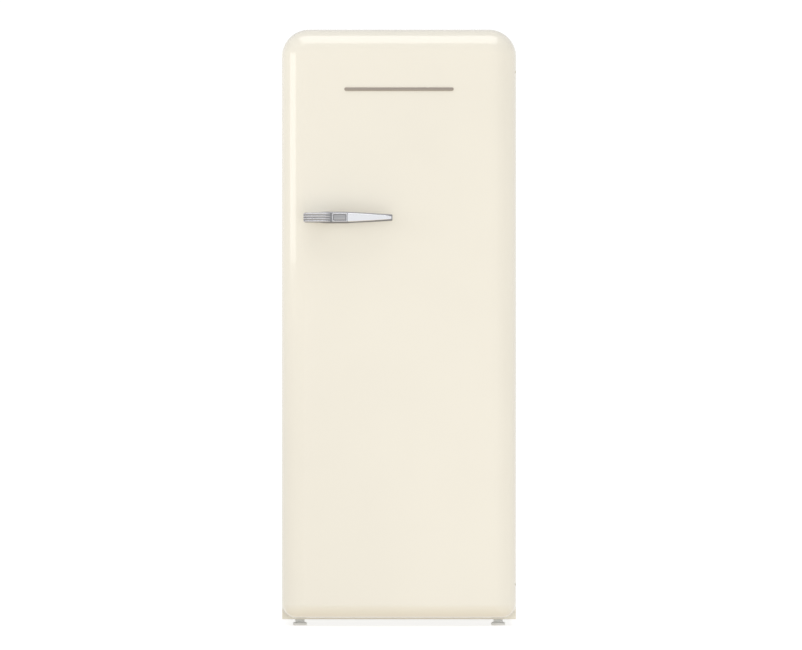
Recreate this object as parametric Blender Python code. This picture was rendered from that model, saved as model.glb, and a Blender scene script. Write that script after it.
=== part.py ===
"""Tall retro refrigerator with one door on the right-hand hinge side.

Metres, +Z up, the door faces -Y. The origin is on the floor under the middle of the whole depth.
"""

import math

import bmesh
import bpy
from mathutils import Vector

# Driving dimensions of the whole object.
WIDTH = 0.601
HEIGHT = 1.530
DEPTH = 0.788
FLOOR_GAP = 0.017
CORNER_RADIUS = 0.070
FIT_GAP = 0.0003

# Planes from front to back.
FRONT = -DEPTH / 2
DOOR_FACE = FRONT + 0.060
DOOR_REAR = DOOR_FACE + 0.0885
CABINET_FRONT = DOOR_FACE + 0.100
CABINET_BACK = CABINET_FRONT + 0.588
REAR = DEPTH / 2

# Cabinet walls.
HALF_WIDTH = WIDTH / 2
SHEET = 0.001
LINER = 0.0015
CAVITY_HALF = 0.250
CAVITY_TOP = 1.470
CAVITY_FLOOR = 0.085
CAVITY_BACK = 0.300
CAVITY_RADIUS = 0.020
FLOOR_RADIUS = 0.008
HUMP_FRONT = 0.127
HUMP_TOP = 0.280
HUMP_SLOPE = 0.012
BAY_FRONT = 0.1757
BAY_TOP = 0.2443
FLANGE_GROW = 0.0035
LIP_GROW = 0.0065

# Shelves and their ledges, from top to bottom.
SHELF_HALF = 0.248
SHELF_FRONT = -0.120
SHELF_BACK = 0.292
GLASS = 0.004
UPPER_SHELF = 1.020
LOWER_SHELF = 0.780
RACK_LEVEL = 0.560
COVER_LEVEL = 0.295
LEDGE_REACH = 0.010
LEDGE_DEPTH = 0.006

# Door.
DOOR_LOW = 0.023
DOOR_SIDE_ROUND = 0.060
DOOR_LOW_ROUND = 0.036
DOOR_LOW_RADIUS = 0.038
EDGE_STEPS = 6
RIDGE_REAR = -0.180
PAN_REAR = -0.262
RIDGE_LOW = 0.097
RIDGE_HIGH = 1.460
SEAL_OUTER = 0.0245
SEAL_WIDTH = 0.018
BIN_HALF = 0.200
BIN_REAR = -0.150
BIN_WALL = 0.002

# Hinge line of the door, and the two bracket levels.
HINGE_X = HALF_WIDTH - 0.014
HINGE_Y = DOOR_REAR - 0.0335
HINGE_LEVELS = {"top": 1.420, "bottom": 0.110}
PIN_RADIUS = 0.004

# Vegetable drawer.
DRAWER_HALF = 0.232
DRAWER_FRONT = -0.130
DRAWER_REAR = 0.122
DRAWER_TOP = 0.282

# Freezer compartment and its drop-down flap.
FREEZER_FRONT = -0.100
FREEZER_LOW = 1.240
FREEZER_WALL = 0.024
FLAP_HALF = 0.234
FLAP_LOW = 1.2495
FLAP_HIGH = 1.4640
FLAP_HINGE = (0.0, FREEZER_FRONT - 0.012, FLAP_LOW + 0.0065)

# Containers and rails in the door, each from its floor to its rim.
BOTTLE_SHELF = (0.130, 0.220)
JAR_SHELF = (0.780, 0.850)
BOTTLE_RAIL = 0.285
JAR_RAIL = 0.885
RAIL_RADIUS = 0.0025

# Dairy compartment and its lid in the door.
DAIRY_LOW = 1.235
DAIRY_TOP = 1.305
LID_HINGE = (0.0, -0.257, DAIRY_TOP + 0.0035)

# Controls on the right-hand wall of the compartment.
CONTROL_X = 0.206
CONTROL_LOW = 1.080
CONTROL_HIGH = 1.190
CONTROL_FRONT = -0.160
CONTROL_BACK = 0.040
KNOB_AXIS = (CONTROL_X, -0.060, 1.135)
PLUNGER_AXIS = (0.2155, -0.165, 1.140)
HOUSING_WALL = 0.002
HOUSING_CORNER = 0.012
LAMP_BACK = 0.120
LAMP_AXIS = (0.230, 0.0, 1.135)

# Feet, rollers and the parts that stand on the base plate.
FOOT_X = 0.255
FOOT_Y = -0.185
ROLLER_X = 0.220
ROLLER_Y = 0.300
ROLLER_RADIUS = 0.0165
ROLLER_AXLE_HALF = 0.0128
BRACKET_TOP = 0.040
BASE_TOP = FLOOR_GAP + 0.0022

# Compressor.
COMPRESSOR_X = -0.050
COMPRESSOR_Y = 0.268
COMPRESSOR_HALF = (0.082, 0.066)
COMPRESSOR_PLATE_HALF = (0.088, 0.068)
COMPRESSOR_PLATE_LOW = 0.0395
COMPRESSOR_BOLT = (0.074, 0.055)

# Condenser on the back, and the drier that its tube leads to.
COIL_HALF = 0.200
COIL_LOW = 0.340
COIL_RISE = 0.090
COIL_PASSES = 11
COIL_RADIUS = 0.0025
GRID_HALF = 0.185
GRID_LOW = 0.320
GRID_HIGH = 1.260
GRID_PITCH = 0.036
DRIER_Y = 0.300
DRIER_LEVEL = 0.120
WALL_SPACER_X = 0.262
WALL_SPACER_LEVEL = 1.400

# Handle.
HANDLE_LEVEL = 1.047
HANDLE_LEFT = -0.2435
HANDLE_RIGHT = -0.0167
MOUNT_LEFT = -0.234
MOUNT_RIGHT = -0.178
MOUNT_HALF = 0.0115
WINDOW_LEFT = -0.1680
WINDOW_RIGHT = -0.1340
WINDOW_HALF = 0.0085

# Ornamental strip across the upper door.
BADGE_HALF = 0.1395
BADGE_LOW = 1.3715
BADGE_HIGH = 1.3805

FINISHES = {
    "cream_enamel": ((0.86, 0.80, 0.66), 0.12, 0.0),
    "white_plastic": ((0.90, 0.90, 0.88), 0.35, 0.0),
    "clear_plastic": ((0.85, 0.90, 0.92), 0.15, 0.0),
    "glass": ((0.80, 0.90, 0.88), 0.05, 0.0),
    "chrome": ((0.80, 0.80, 0.80), 0.08, 1.0),
    "dark_inset": ((0.22, 0.22, 0.23), 0.30, 1.0),
    "foam": ((0.85, 0.75, 0.45), 0.90, 0.0),
    "zinc_steel": ((0.62, 0.63, 0.64), 0.40, 1.0),
    "black_steel": ((0.03, 0.03, 0.03), 0.40, 0.0),
    "black_plastic": ((0.04, 0.04, 0.04), 0.50, 0.0),
    "copper": ((0.72, 0.42, 0.28), 0.30, 1.0),
    "aluminium": ((0.85, 0.86, 0.87), 0.30, 1.0),
    "grey_rubber": ((0.55, 0.55, 0.53), 0.70, 0.0),
}


def clear_scene():
    for item in list(bpy.data.objects):
        bpy.data.objects.remove(item, do_unlink=True)


def finish(name):
    """The Principled material of this finish, made once."""
    if name in bpy.data.materials:
        return bpy.data.materials[name]
    colour, roughness, metallic = FINISHES[name]
    material = bpy.data.materials.new(name)
    material.use_nodes = True
    shader = material.node_tree.nodes["Principled BSDF"]
    shader.inputs["Base Color"].default_value = (*colour, 1.0)
    shader.inputs["Roughness"].default_value = roughness
    shader.inputs["Metallic"].default_value = metallic
    return material


def add_object(name, shape, finish_name, pivot=None):
    """A named object from a bmesh in world space, carried by its pivot if it has one."""
    if pivot is not None:
        bmesh.ops.translate(shape, verts=shape.verts, vec=-pivot.location)
    mesh = bpy.data.meshes.new(name)
    shape.to_mesh(mesh)
    shape.free()
    mesh.materials.append(finish(finish_name))
    mesh.shade_smooth()
    mesh.set_sharp_from_angle(angle=math.radians(35))
    item = bpy.data.objects.new(name, mesh)
    bpy.context.scene.collection.objects.link(item)
    item.parent = pivot
    return item


def add_pivot(name, location):
    """An empty on a joint's axis, which carries the pieces that move with it."""
    pivot = bpy.data.objects.new(name, None)
    pivot.location = location
    bpy.context.scene.collection.objects.link(pivot)
    return pivot


def combine(target, operation, shapes):
    """One exact Boolean with every helper shape, all given in world space."""
    helpers = bpy.data.collections.new(f"{target.name}_{operation.lower()}")
    bpy.context.scene.collection.children.link(helpers)
    for index, shape in enumerate(shapes):
        mesh = bpy.data.meshes.new(f"{helpers.name}_{index}")
        shape.to_mesh(mesh)
        shape.free()
        helper = bpy.data.objects.new(mesh.name, mesh)
        helper.hide_render = True
        helper.display_type = "WIRE"
        helpers.objects.link(helper)
    modifier = target.modifiers.new(operation.title(), "BOOLEAN")
    modifier.operation = operation
    modifier.solver = "EXACT"
    modifier.operand_type = "COLLECTION"
    modifier.collection = helpers


def rounded(u0, u1, v0, v1, low_radius, high_radius, steps=6):
    """A rectangle with rounded corners, as one loop of (u, v) points."""
    corners = (
        (u1 - low_radius, v0 + low_radius, low_radius, -90),
        (u1 - high_radius, v1 - high_radius, high_radius, 0),
        (u0 + high_radius, v1 - high_radius, high_radius, 90),
        (u0 + low_radius, v0 + low_radius, low_radius, 180),
    )
    points = []
    for u, v, radius, start in corners:
        for step in range(steps + 1):
            angle = math.radians(start + 90 * step / steps)
            points.append((u + radius * math.cos(angle), v + radius * math.sin(angle)))
    return points


def circle(u, v, radius, steps):
    turn = 2 * math.pi / steps
    return [(u + radius * math.cos(i * turn), v + radius * math.sin(i * turn)) for i in range(steps)]


def place(points, axis, offset):
    """Plane points as points in space, on the plane at this offset along the axis."""
    if axis == "x":
        return [(offset, u, v) for u, v in points]
    if axis == "y":
        return [(u, offset, v) for u, v in points]
    return [(u, v, offset) for u, v in points]


def loft(rings, looped=False):
    """Faces between loops of equal length: a closed tube, or one capped at both ends."""
    shape = bmesh.new()
    rows = [[shape.verts.new(point) for point in ring] for ring in rings]
    pairs = list(zip(rows, rows[1:]))
    if looped:
        pairs.append((rows[-1], rows[0]))
    else:
        shape.faces.new(rows[0])
        shape.faces.new(rows[-1])
    for near, far in pairs:
        for i, corner in enumerate(near):
            j = (i + 1) % len(near)
            shape.faces.new((corner, near[j], far[j], far[i]))
    bmesh.ops.recalc_face_normals(shape, faces=shape.faces)
    return shape


def prism(points, axis, start, end):
    return loft([place(points, axis, start), place(points, axis, end)])


def box(x0, x1, y0, y1, z0, z1):
    return prism([(x0, y0), (x1, y0), (x1, y1), (x0, y1)], "z", z0, z1)


def turned(profile, axis, centre, steps):
    """A solid of revolution: (radius, offset) pairs along the axis through the centre."""
    u, v = [value for name, value in zip("xyz", centre) if name != axis]
    return loft([place(circle(u, v, radius, steps), axis, offset) for radius, offset in profile])


def rod(start, end, radius, sides=6):
    """A straight wire between two points."""
    start, end = Vector(start), Vector(end)
    spin = (end - start).to_track_quat("Z", "Y")
    ring = [spin @ Vector((u, v, 0)) for u, v in circle(0, 0, radius, sides)]
    return loft([[start + p for p in ring], [end + p for p in ring]])


def tub(outer, inner, axis, base, rim, floor):
    """An open container: outer and inner loops as (base loop, rim loop) pairs."""
    return loft(
        [
            place(outer[0], axis, base),
            place(outer[1], axis, rim),
            place(inner[1], axis, rim),
            place(inner[0], axis, floor),
        ]
    )


def arch(half, low, high, radius, steps=8):
    """The outline of the cabinet from its right foot over the top to its left foot."""
    points = [(half, low)]
    for centre, start in ((half - radius, 0), (-half + radius, 90)):
        for step in range(steps + 1):
            angle = math.radians(start + 90 * step / steps)
            points.append((centre + radius * math.cos(angle), high - radius + radius * math.sin(angle)))
    points.append((-half, low))
    return points


def tube_curve(name, points, radius, finish_name):
    """A round tube along a smooth run of points."""
    curve = bpy.data.curves.new(name, "CURVE")
    curve.dimensions = "3D"
    curve.bevel_depth = radius
    curve.bevel_resolution = 1
    curve.use_fill_caps = True
    spline = curve.splines.new("POLY")
    spline.points.add(len(points) - 1)
    for target, point in zip(spline.points, points):
        target.co = (*point, 1.0)
    curve.materials.append(finish(finish_name))
    item = bpy.data.objects.new(name, curve)
    bpy.context.scene.collection.objects.link(item)
    return item


# ---- Cabinet ----


def outer_cabinet():
    """Painted steel sheet folded over the sides and top, with its front flange turned inwards."""
    outer = arch(HALF_WIDTH, FLOOR_GAP, HEIGHT, CORNER_RADIUS)
    inner = arch(HALF_WIDTH - SHEET, FLOOR_GAP, HEIGHT - SHEET, CORNER_RADIUS - SHEET)
    edge = arch(
        CAVITY_HALF + FLANGE_GROW, FLOOR_GAP, CAVITY_TOP + FLANGE_GROW, CAVITY_RADIUS + FLANGE_GROW
    )
    sections = []
    for (ox, oz), (ix, iz), (ex, ez) in zip(outer, inner, edge):
        sections.append(
            [
                (ox, CABINET_FRONT, oz),
                (ox, CABINET_BACK, oz),
                (ix, CABINET_BACK, iz),
                (ix, CABINET_FRONT + SHEET, iz),
                (ex, CABINET_FRONT + SHEET, ez),
                (ex, CABINET_FRONT, ez),
            ]
        )
    return add_object("outer_cabinet", loft(sections), "cream_enamel")


def front_lower_rail():
    edge = CAVITY_HALF + FLANGE_GROW - FIT_GAP
    top = CAVITY_FLOOR - FLANGE_GROW
    shape = box(-edge, edge, CABINET_FRONT, CABINET_FRONT + SHEET, FLOOR_GAP, top)
    return add_object("front_lower_rail", shape, "cream_enamel")


def compartment(grow, front):
    """Loops of the cold compartment, grown outwards, with the step over the machine bay."""
    half = CAVITY_HALF + grow
    top = CAVITY_TOP + grow
    radius = CAVITY_RADIUS + grow
    low_radius = FLOOR_RADIUS + grow
    floor = rounded(-half, half, CAVITY_FLOOR - grow, top, low_radius, radius)
    raised = rounded(-half, half, HUMP_TOP - grow, top, low_radius, radius)
    return [
        place(floor, "y", front),
        place(floor, "y", HUMP_FRONT + grow),
        place(raised, "y", HUMP_FRONT + HUMP_SLOPE + grow),
        place(raised, "y", CAVITY_BACK + grow),
    ]


def cabinet_insulation():
    inset = SHEET + FIT_GAP
    low = FLOOR_GAP + 0.0021
    outline = arch(HALF_WIDTH - inset, low, HEIGHT - inset, CORNER_RADIUS - inset)
    foam = add_object(
        "cabinet_insulation",
        prism(outline, "y", CABINET_FRONT + inset, CABINET_BACK - 0.002),
        "foam",
    )
    bay = box(-HALF_WIDTH, HALF_WIDTH, BAY_FRONT, CABINET_BACK, 0.0, BAY_TOP)
    room = loft(compartment(LINER + FIT_GAP, CABINET_FRONT - 0.05))
    holes = [turned([(0.0075, 0.0), (0.0075, 0.062)], "z", (x, FOOT_Y, 0), 12) for x in (-FOOT_X, FOOT_X)]
    combine(foam, "DIFFERENCE", [bay, room, *holes])
    return foam


def ledges():
    """Pairs of ribs on the side walls that carry the shelves."""
    shapes = []
    for level in (UPPER_SHELF, LOWER_SHELF, RACK_LEVEL, COVER_LEVEL):
        for side in (-1, 1):
            wall = side * (CAVITY_HALF + LINER / 2)
            edge = side * (CAVITY_HALF - LEDGE_REACH)
            top = level - FIT_GAP
            left, right = min(wall, edge), max(wall, edge)
            near, far = SHELF_FRONT + 0.010, SHELF_BACK - 0.010
            shapes.append(box(left, right, near, far, top - LEDGE_DEPTH, top))
    return shapes


def inner_liner():
    outside = compartment(LINER, CABINET_FRONT - FIT_GAP)
    inside = compartment(0.0, CABINET_FRONT - FIT_GAP - 0.0012)
    lip_half = CAVITY_HALF + LIP_GROW
    lip = rounded(
        -lip_half,
        lip_half,
        CAVITY_FLOOR - LIP_GROW,
        CAVITY_TOP + LIP_GROW,
        FLOOR_RADIUS + LIP_GROW,
        CAVITY_RADIUS + LIP_GROW,
    )
    rings = list(reversed(outside))
    rings.append(place(lip, "y", CABINET_FRONT - FIT_GAP))
    rings.append(place(lip, "y", CABINET_FRONT - FIT_GAP - 0.0012))
    rings.extend(inside)
    liner = add_object("inner_liner", loft(rings), "white_plastic")
    combine(liner, "UNION", ledges())
    return liner


def base_plate():
    edge = HALF_WIDTH - SHEET - FIT_GAP
    low = FLOOR_GAP + FIT_GAP
    shape = box(-edge, edge, CABINET_FRONT + 0.0015, CABINET_BACK - 0.0005, low, low + 0.0015)
    plate = add_object("base_plate", shape, "zinc_steel")
    cuts = []
    for side in (-1, 1):
        cuts.append(turned([(0.0052, 0.0), (0.0052, 0.03)], "z", (side * FOOT_X, FOOT_Y, 0), 12))
        x = side * ROLLER_X
        cuts.append(box(x - 0.0145, x + 0.0145, ROLLER_Y - 0.022, ROLLER_Y + 0.022, 0.0, 0.03))
    combine(plate, "DIFFERENCE", cuts)
    return plate


def back_panel():
    inset = SHEET + FIT_GAP
    outline = arch(HALF_WIDTH - inset, BAY_TOP, HEIGHT - inset, CORNER_RADIUS - inset)
    shape = prism(outline, "y", CABINET_BACK - 0.0017, CABINET_BACK - 0.0005)
    return add_object("back_panel", shape, "zinc_steel")


def machine_bay_panel():
    """Folded sheet between the insulation and the machine bay."""
    front, top = BAY_FRONT + FIT_GAP, BAY_TOP - FIT_GAP
    back = CABINET_BACK - 0.0022
    profile = [
        (front, BASE_TOP),
        (front + SHEET, BASE_TOP),
        (front + SHEET, top - SHEET),
        (back, top - SHEET),
        (back, top),
        (front, top),
    ]
    return add_object("machine_bay_panel", prism(profile, "x", -0.298, 0.298), "zinc_steel")


# ---- Machine bay and rear ----


def compressor():
    """Two pressed half bodies with a welded seam, on a mounting plate."""
    profile = (
        (0.55, 0.042),
        (0.90, 0.052),
        (1.00, 0.072),
        (1.00, 0.122),
        (1.07, 0.124),
        (1.07, 0.130),
        (1.00, 0.132),
        (0.95, 0.165),
        (0.70, 0.192),
        (0.25, 0.202),
    )
    x, y = COMPRESSOR_X, COMPRESSOR_Y
    half_x, half_y = COMPRESSOR_HALF
    rings = []
    for scale, z in profile:
        ring = circle(0, 0, scale, 20)
        rings.append([(x + half_x * u, y + half_y * v, z) for u, v in ring])
    body = add_object("compressor", loft(rings), "black_steel")
    wide, deep = COMPRESSOR_PLATE_HALF
    low = COMPRESSOR_PLATE_LOW
    combine(body, "UNION", [box(x - wide, x + wide, y - deep, y + deep, low, low + 0.004)])
    return body


def compressor_rail():
    """Cross plate on the base with four raised seats for the compressor."""
    x, y = COMPRESSOR_X, COMPRESSOR_Y
    wide, deep = 0.100, 0.076
    plate = box(x - wide, x + wide, y - deep, y + deep, BASE_TOP, BASE_TOP + 0.003)
    rail = add_object("compressor_rail", plate, "zinc_steel")
    seat = [(0.010, BASE_TOP + 0.001), (0.010, 0.034), (0.007, COMPRESSOR_PLATE_LOW - 0.0004)]
    seats = []
    for dx in (-COMPRESSOR_BOLT[0], COMPRESSOR_BOLT[0]):
        for dy in (-COMPRESSOR_BOLT[1], COMPRESSOR_BOLT[1]):
            seats.append(turned(seat, "z", (x + dx, y + dy, 0), 12))
    combine(rail, "UNION", seats)
    return rail


def start_relay_cover():
    left = COMPRESSOR_X + 0.0885
    outline = rounded(COMPRESSOR_Y - 0.034, COMPRESSOR_Y + 0.034, 0.070, 0.150, 0.006, 0.006, 3)
    return add_object("start_relay_cover", prism(outline, "x", left, left + 0.034), "black_plastic")


def evaporation_tray():
    """Shallow open tray above the compressor, where the defrost water dries."""
    x, y = COMPRESSOR_X, COMPRESSOR_Y
    wall, low, high = 0.002, 0.2035, 0.2280
    outer, inner = [], []
    for wide, deep in ((0.078, 0.058), (0.086, 0.066)):
        outer.append(rounded(x - wide, x + wide, y - deep, y + deep, 0.010, 0.010, 4))
        wide, deep = wide - wall, deep - wall
        inner.append(rounded(x - wide, x + wide, y - deep, y + deep, 0.008, 0.008, 4))
    shape = tub(outer, inner, "z", low, high, low + wall)
    return add_object("evaporation_tray", shape, "black_plastic")


def drain_tube():
    """Short open tube that leads the defrost water into the tray."""
    x, y = COMPRESSOR_X - 0.03, COMPRESSOR_Y - 0.02
    top, low = BAY_TOP - FIT_GAP * 2 - SHEET, 0.216
    rings = [
        place(circle(x, y, 0.0075, 12), "z", top),
        place(circle(x, y, 0.0065, 12), "z", low),
        place(circle(x, y, 0.0050, 12), "z", low),
        place(circle(x, y, 0.0060, 12), "z", top),
    ]
    return add_object("drain_tube", loft(rings, looped=True), "white_plastic")


def filter_drier():
    profile = [(0.003, 0.130), (0.009, 0.140), (0.009, 0.195), (0.003, 0.207)]
    centre = (0.0, DRIER_Y, DRIER_LEVEL)
    return add_object("filter_drier", turned(profile, "x", centre, 12), "copper")


def bend(centre, radius, start, end, steps, y):
    """Points on an arc in a plane of constant y."""
    angles = [math.radians(start + (end - start) * i / steps) for i in range(steps + 1)]
    return [(centre[0] + radius * math.cos(a), y, centre[1] + radius * math.sin(a)) for a in angles]


def condenser_coil():
    """Serpentine tube on the back, led down to the filter drier in the machine bay."""
    y = CABINET_BACK + 0.009
    radius = COIL_RISE / 2
    points = [(-COIL_HALF, y, COIL_LOW + COIL_RISE * (COIL_PASSES - 1))]
    for index in range(COIL_PASSES - 1, 0, -1):
        level = COIL_LOW + COIL_RISE * (index - 0.5)
        if (COIL_PASSES - 1 - index) % 2 == 0:
            points.extend(bend((COIL_HALF - radius, level), radius, 90, -90, 6, y))
        else:
            points.extend(bend((-COIL_HALF + radius, level), radius, 90, 270, 6, y))
    points.append((COIL_HALF - 0.020, y, COIL_LOW))
    points.append((COIL_HALF + 0.014, y, COIL_LOW - 0.015))
    points.append((COIL_HALF + 0.022, y, COIL_LOW - 0.045))
    points.append((COIL_HALF + 0.022, y, DRIER_LEVEL + 0.050))
    points.append((COIL_HALF + 0.022, y - 0.012, DRIER_LEVEL + 0.020))
    points.append((COIL_HALF + 0.020, y - 0.040, DRIER_LEVEL + 0.002))
    points.append((COIL_HALF + 0.010, DRIER_Y, DRIER_LEVEL))
    return tube_curve("condenser_coil", points, COIL_RADIUS, "black_steel")


def condenser_wires():
    """Grid of thin wires behind the coil, which carry its heat into the air."""
    y = CABINET_BACK + 0.0128
    wires = []
    for column in range(-5, 6):
        x = GRID_PITCH * column
        wires.append(rod((x, y, GRID_LOW), (x, y, GRID_HIGH), 0.0009, 5))
    bars = []
    for level in (GRID_LOW + 0.010, GRID_HIGH - 0.010):
        ends = (-GRID_HALF, y + 0.0004, level), (GRID_HALF, y + 0.0004, level)
        bars.append(rod(*ends, 0.0011, 5))
    grid = add_object("condenser_wires", bars[0], "black_steel")
    combine(grid, "UNION", [*wires, bars[1]])
    return grid


def suction_line():
    """Return tube from the evaporator, down through the bay ceiling to the compressor."""
    start = Vector((-0.220, 0.300, BAY_TOP - SHEET - 0.0008))
    end = Vector((COMPRESSOR_X - 0.0885, COMPRESSOR_Y, 0.110))
    points = []
    for step in range(11):
        t = step / 10
        ease = t * t * (3 - 2 * t)
        x = start.x + (end.x - start.x) * t**2
        y = start.y + (end.y - start.y) * ease
        z = start.z + (end.z - start.z) * (1 - (1 - t) ** 2)
        points.append((x, y, z))
    return tube_curve("suction_line", points, 0.004, "copper")


def wall_spacer(side):
    """Plastic stop that keeps the back clear of the wall."""
    x, z = side * WALL_SPACER_X, WALL_SPACER_LEVEL
    sections = (
        (0.020, CABINET_BACK + FIT_GAP),
        (0.020, CABINET_BACK + 0.010),
        (0.012, REAR - 0.002),
        (0.010, REAR),
    )
    rings = []
    for half, y in sections:
        rings.append(place(rounded(x - half, x + half, z - half, z + half, 0.005, 0.005, 2), "y", y))
    name = "wall_spacer_left" if side < 0 else "wall_spacer_right"
    return add_object(name, loft(rings), "black_plastic")


def mains_inlet():
    """Appliance inlet block on the base plate, open to the back."""
    low = BASE_TOP
    outer = rounded(0.244, 0.284, low, low + 0.034, 0.003, 0.003, 2)
    inner = rounded(0.248, 0.280, low + 0.005, low + 0.029, 0.003, 0.003, 2)
    shape = tub([outer, outer], [inner, inner], "y", 0.318, CABINET_BACK - 0.001, 0.330)
    return add_object("mains_inlet", shape, "black_plastic")


# ---- Feet and rollers ----


def levelling_foot(side):
    """Round pad on a threaded stem that screws into the base."""
    name = "foot_left" if side < 0 else "foot_right"
    profile = (
        (0.0170, 0.0),
        (0.0180, 0.002),
        (0.0180, 0.007),
        (0.0120, 0.010),
        (0.0120, 0.015),
        (0.0045, 0.0155),
        (0.0045, 0.055),
    )
    centre = (side * FOOT_X, FOOT_Y, 0.0)
    pivot = add_pivot(f"{name}_axis", centre)
    return add_object(name, turned(profile, "z", centre, 16), "grey_rubber", pivot)


def roller(side):
    """Rear wheel with its stub axles."""
    name = "roller_left" if side < 0 else "roller_right"
    x = side * ROLLER_X
    wheel = ((0.003, ROLLER_AXLE_HALF), (0.003, 0.0092), (0.0135, 0.0090), (ROLLER_RADIUS, 0.0075))
    profile = [(radius, x - offset) for radius, offset in wheel]
    profile += [(radius, x + offset) for radius, offset in reversed(wheel)]
    centre = (x, ROLLER_Y, ROLLER_RADIUS)
    pivot = add_pivot(f"{name}_axis", centre)
    return add_object(name, turned(profile, "x", centre, 20), "black_plastic", pivot)


def roller_bracket(side):
    """Folded fork above the base plate, whose cheeks hold the stub axles."""
    x = side * ROLLER_X
    low, top = 0.0085, BRACKET_TOP
    outer = ROLLER_AXLE_HALF + FIT_GAP
    inner = outer - 0.0032
    profile = [
        (x - outer, low),
        (x - inner, low),
        (x - inner, top - 0.003),
        (x + inner, top - 0.003),
        (x + inner, low),
        (x + outer, low),
        (x + outer, top),
        (x - outer, top),
    ]
    name = "roller_bracket_left" if side < 0 else "roller_bracket_right"
    near, far = ROLLER_Y - 0.012, ROLLER_Y + 0.012
    fork = add_object(name, prism(profile, "y", near, far), "zinc_steel")
    bore = turned([(0.0034, x - 0.02), (0.0034, x + 0.02)], "x", (0, ROLLER_Y, ROLLER_RADIUS), 12)
    tabs = [
        box(x - 0.026, x - 0.012, near, far, BASE_TOP, BASE_TOP + 0.003),
        box(x + 0.012, x + 0.026, near, far, BASE_TOP, BASE_TOP + 0.003),
    ]
    combine(fork, "UNION", tabs)
    combine(fork, "DIFFERENCE", [bore])
    return fork


# ---- Door hinges ----


def hinge_pockets():
    """At each hinge, the slot that the tongue swings through and the room for the pin's head."""
    shapes = []
    for level in HINGE_LEVELS.values():
        left, right, front = HINGE_X - 0.010, HALF_WIDTH + 0.01, HINGE_Y - 0.0145
        shapes.append(box(left, right, front, CABINET_FRONT, level - 0.0028, level + 0.0028))
        left, right = HINGE_X - 0.009, HINGE_X + 0.009
        shapes.append(box(left, right, front + 0.002, HINGE_Y + 0.009, level - 0.006, level + 0.0085))
    return shapes


def hinge_bracket(where, level):
    """Plate on the cabinet front with a tongue that reaches into the door."""
    rear = CABINET_FRONT - FIT_GAP
    upright = box(HINGE_X - 0.007, HINGE_X + 0.012, rear - 0.003, rear, level - 0.022, level + 0.022)
    reach = HINGE_Y - 0.0065
    tongue = rounded(HINGE_X - 0.0065, HINGE_X + 0.0065, reach, rear - 0.001, 0.006, 0.001, 4)
    bracket = add_object(f"{where}_hinge_bracket", upright, "zinc_steel")
    combine(bracket, "UNION", [prism(tongue, "z", level - 0.002, level + 0.002)])
    radius = PIN_RADIUS - 0.0007
    bore = turned([(radius, level - 0.01), (radius, level + 0.01)], "z", (HINGE_X, HINGE_Y, 0), 12)
    combine(bracket, "DIFFERENCE", [bore])
    return bracket


def hinge_pin(where, level):
    """Shouldered pin, riveted in the tongue and rising into the door's bush."""
    neck = PIN_RADIUS - 0.001
    profile = [
        (0.0050, level - 0.0045),
        (0.0050, level - 0.0023),
        (neck, level - 0.0023),
        (neck, level + 0.0023),
        (PIN_RADIUS, level + 0.0023),
        (PIN_RADIUS, level + 0.026),
        (PIN_RADIUS - 0.001, level + 0.027),
    ]
    return add_object(f"{where}_hinge_pin", turned(profile, "z", (HINGE_X, HINGE_Y, 0), 12), "zinc_steel")


def hinge_bush(where, level, pivot):
    """Nylon sleeve in the door that turns on the pin."""
    rings = []
    for radius, z in ((0.0075, 0.0090), (0.0075, 0.0300), (0.0045, 0.0300), (0.0045, 0.0090)):
        rings.append(place(circle(HINGE_X, HINGE_Y, radius, 12), "z", level + z))
    return add_object(f"{where}_hinge_bush", loft(rings, looped=True), "white_plastic", pivot)


def bush_hole(level):
    return turned([(0.0079, level), (0.0079, level + 0.0305)], "z", (HINGE_X, HINGE_Y, 0), 12)


# ---- Door ----


def door_loop(side_inset, low_inset, y, steps=6):
    """The door's outline, drawn in by its own amount at the sides and top and at the bottom."""
    half = HALF_WIDTH - side_inset
    top_radius = max(CORNER_RADIUS - side_inset, 0.002)
    low_radius = max(DOOR_LOW_RADIUS - low_inset, 0.002)
    outline = rounded(-half, half, DOOR_LOW + low_inset, HEIGHT - side_inset, low_radius, top_radius, steps)
    return place(outline, "y", y)


def door_front_loops(thickness):
    """Loops from the flat face over the rounded edge, for a surface this far inside the skin."""
    loops = []
    for step in range(EDGE_STEPS, -1, -1):
        angle = math.radians(90 * step / EDGE_STEPS)
        sink = 1 - math.cos(angle)
        side = thickness + (DOOR_SIDE_ROUND - thickness) * sink
        low = thickness + (DOOR_LOW_ROUND - thickness) * sink
        depth = DOOR_FACE + DOOR_SIDE_ROUND - (DOOR_SIDE_ROUND - thickness) * math.sin(angle)
        loops.append(door_loop(side, low, depth))
    return loops


def door_skin(pivot):
    """Pressed steel front with deep rounded edges and a return flange at the back."""
    rings = door_front_loops(0.0)
    rings.append(door_loop(0.0, 0.0, DOOR_REAR))
    rings.append(door_loop(0.014, 0.014, DOOR_REAR))
    rings.append(door_loop(0.014, 0.014, DOOR_REAR - SHEET))
    rings.append(door_loop(SHEET, SHEET, DOOR_REAR - SHEET))
    rings.extend(reversed(door_front_loops(SHEET)))
    skin = add_object("door_skin", loft(rings), "cream_enamel", pivot)
    combine(skin, "DIFFERENCE", hinge_pockets())
    return skin


def ridge_loop(half, y):
    """Outline of the raised ridge of the inner door panel, at this half width."""
    shrink = 0.228 - half
    radius = max(0.024 - shrink, 0.006)
    outline = rounded(-half, half, RIDGE_LOW + shrink, RIDGE_HIGH - shrink, radius, radius)
    return place(outline, "y", y)


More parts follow.
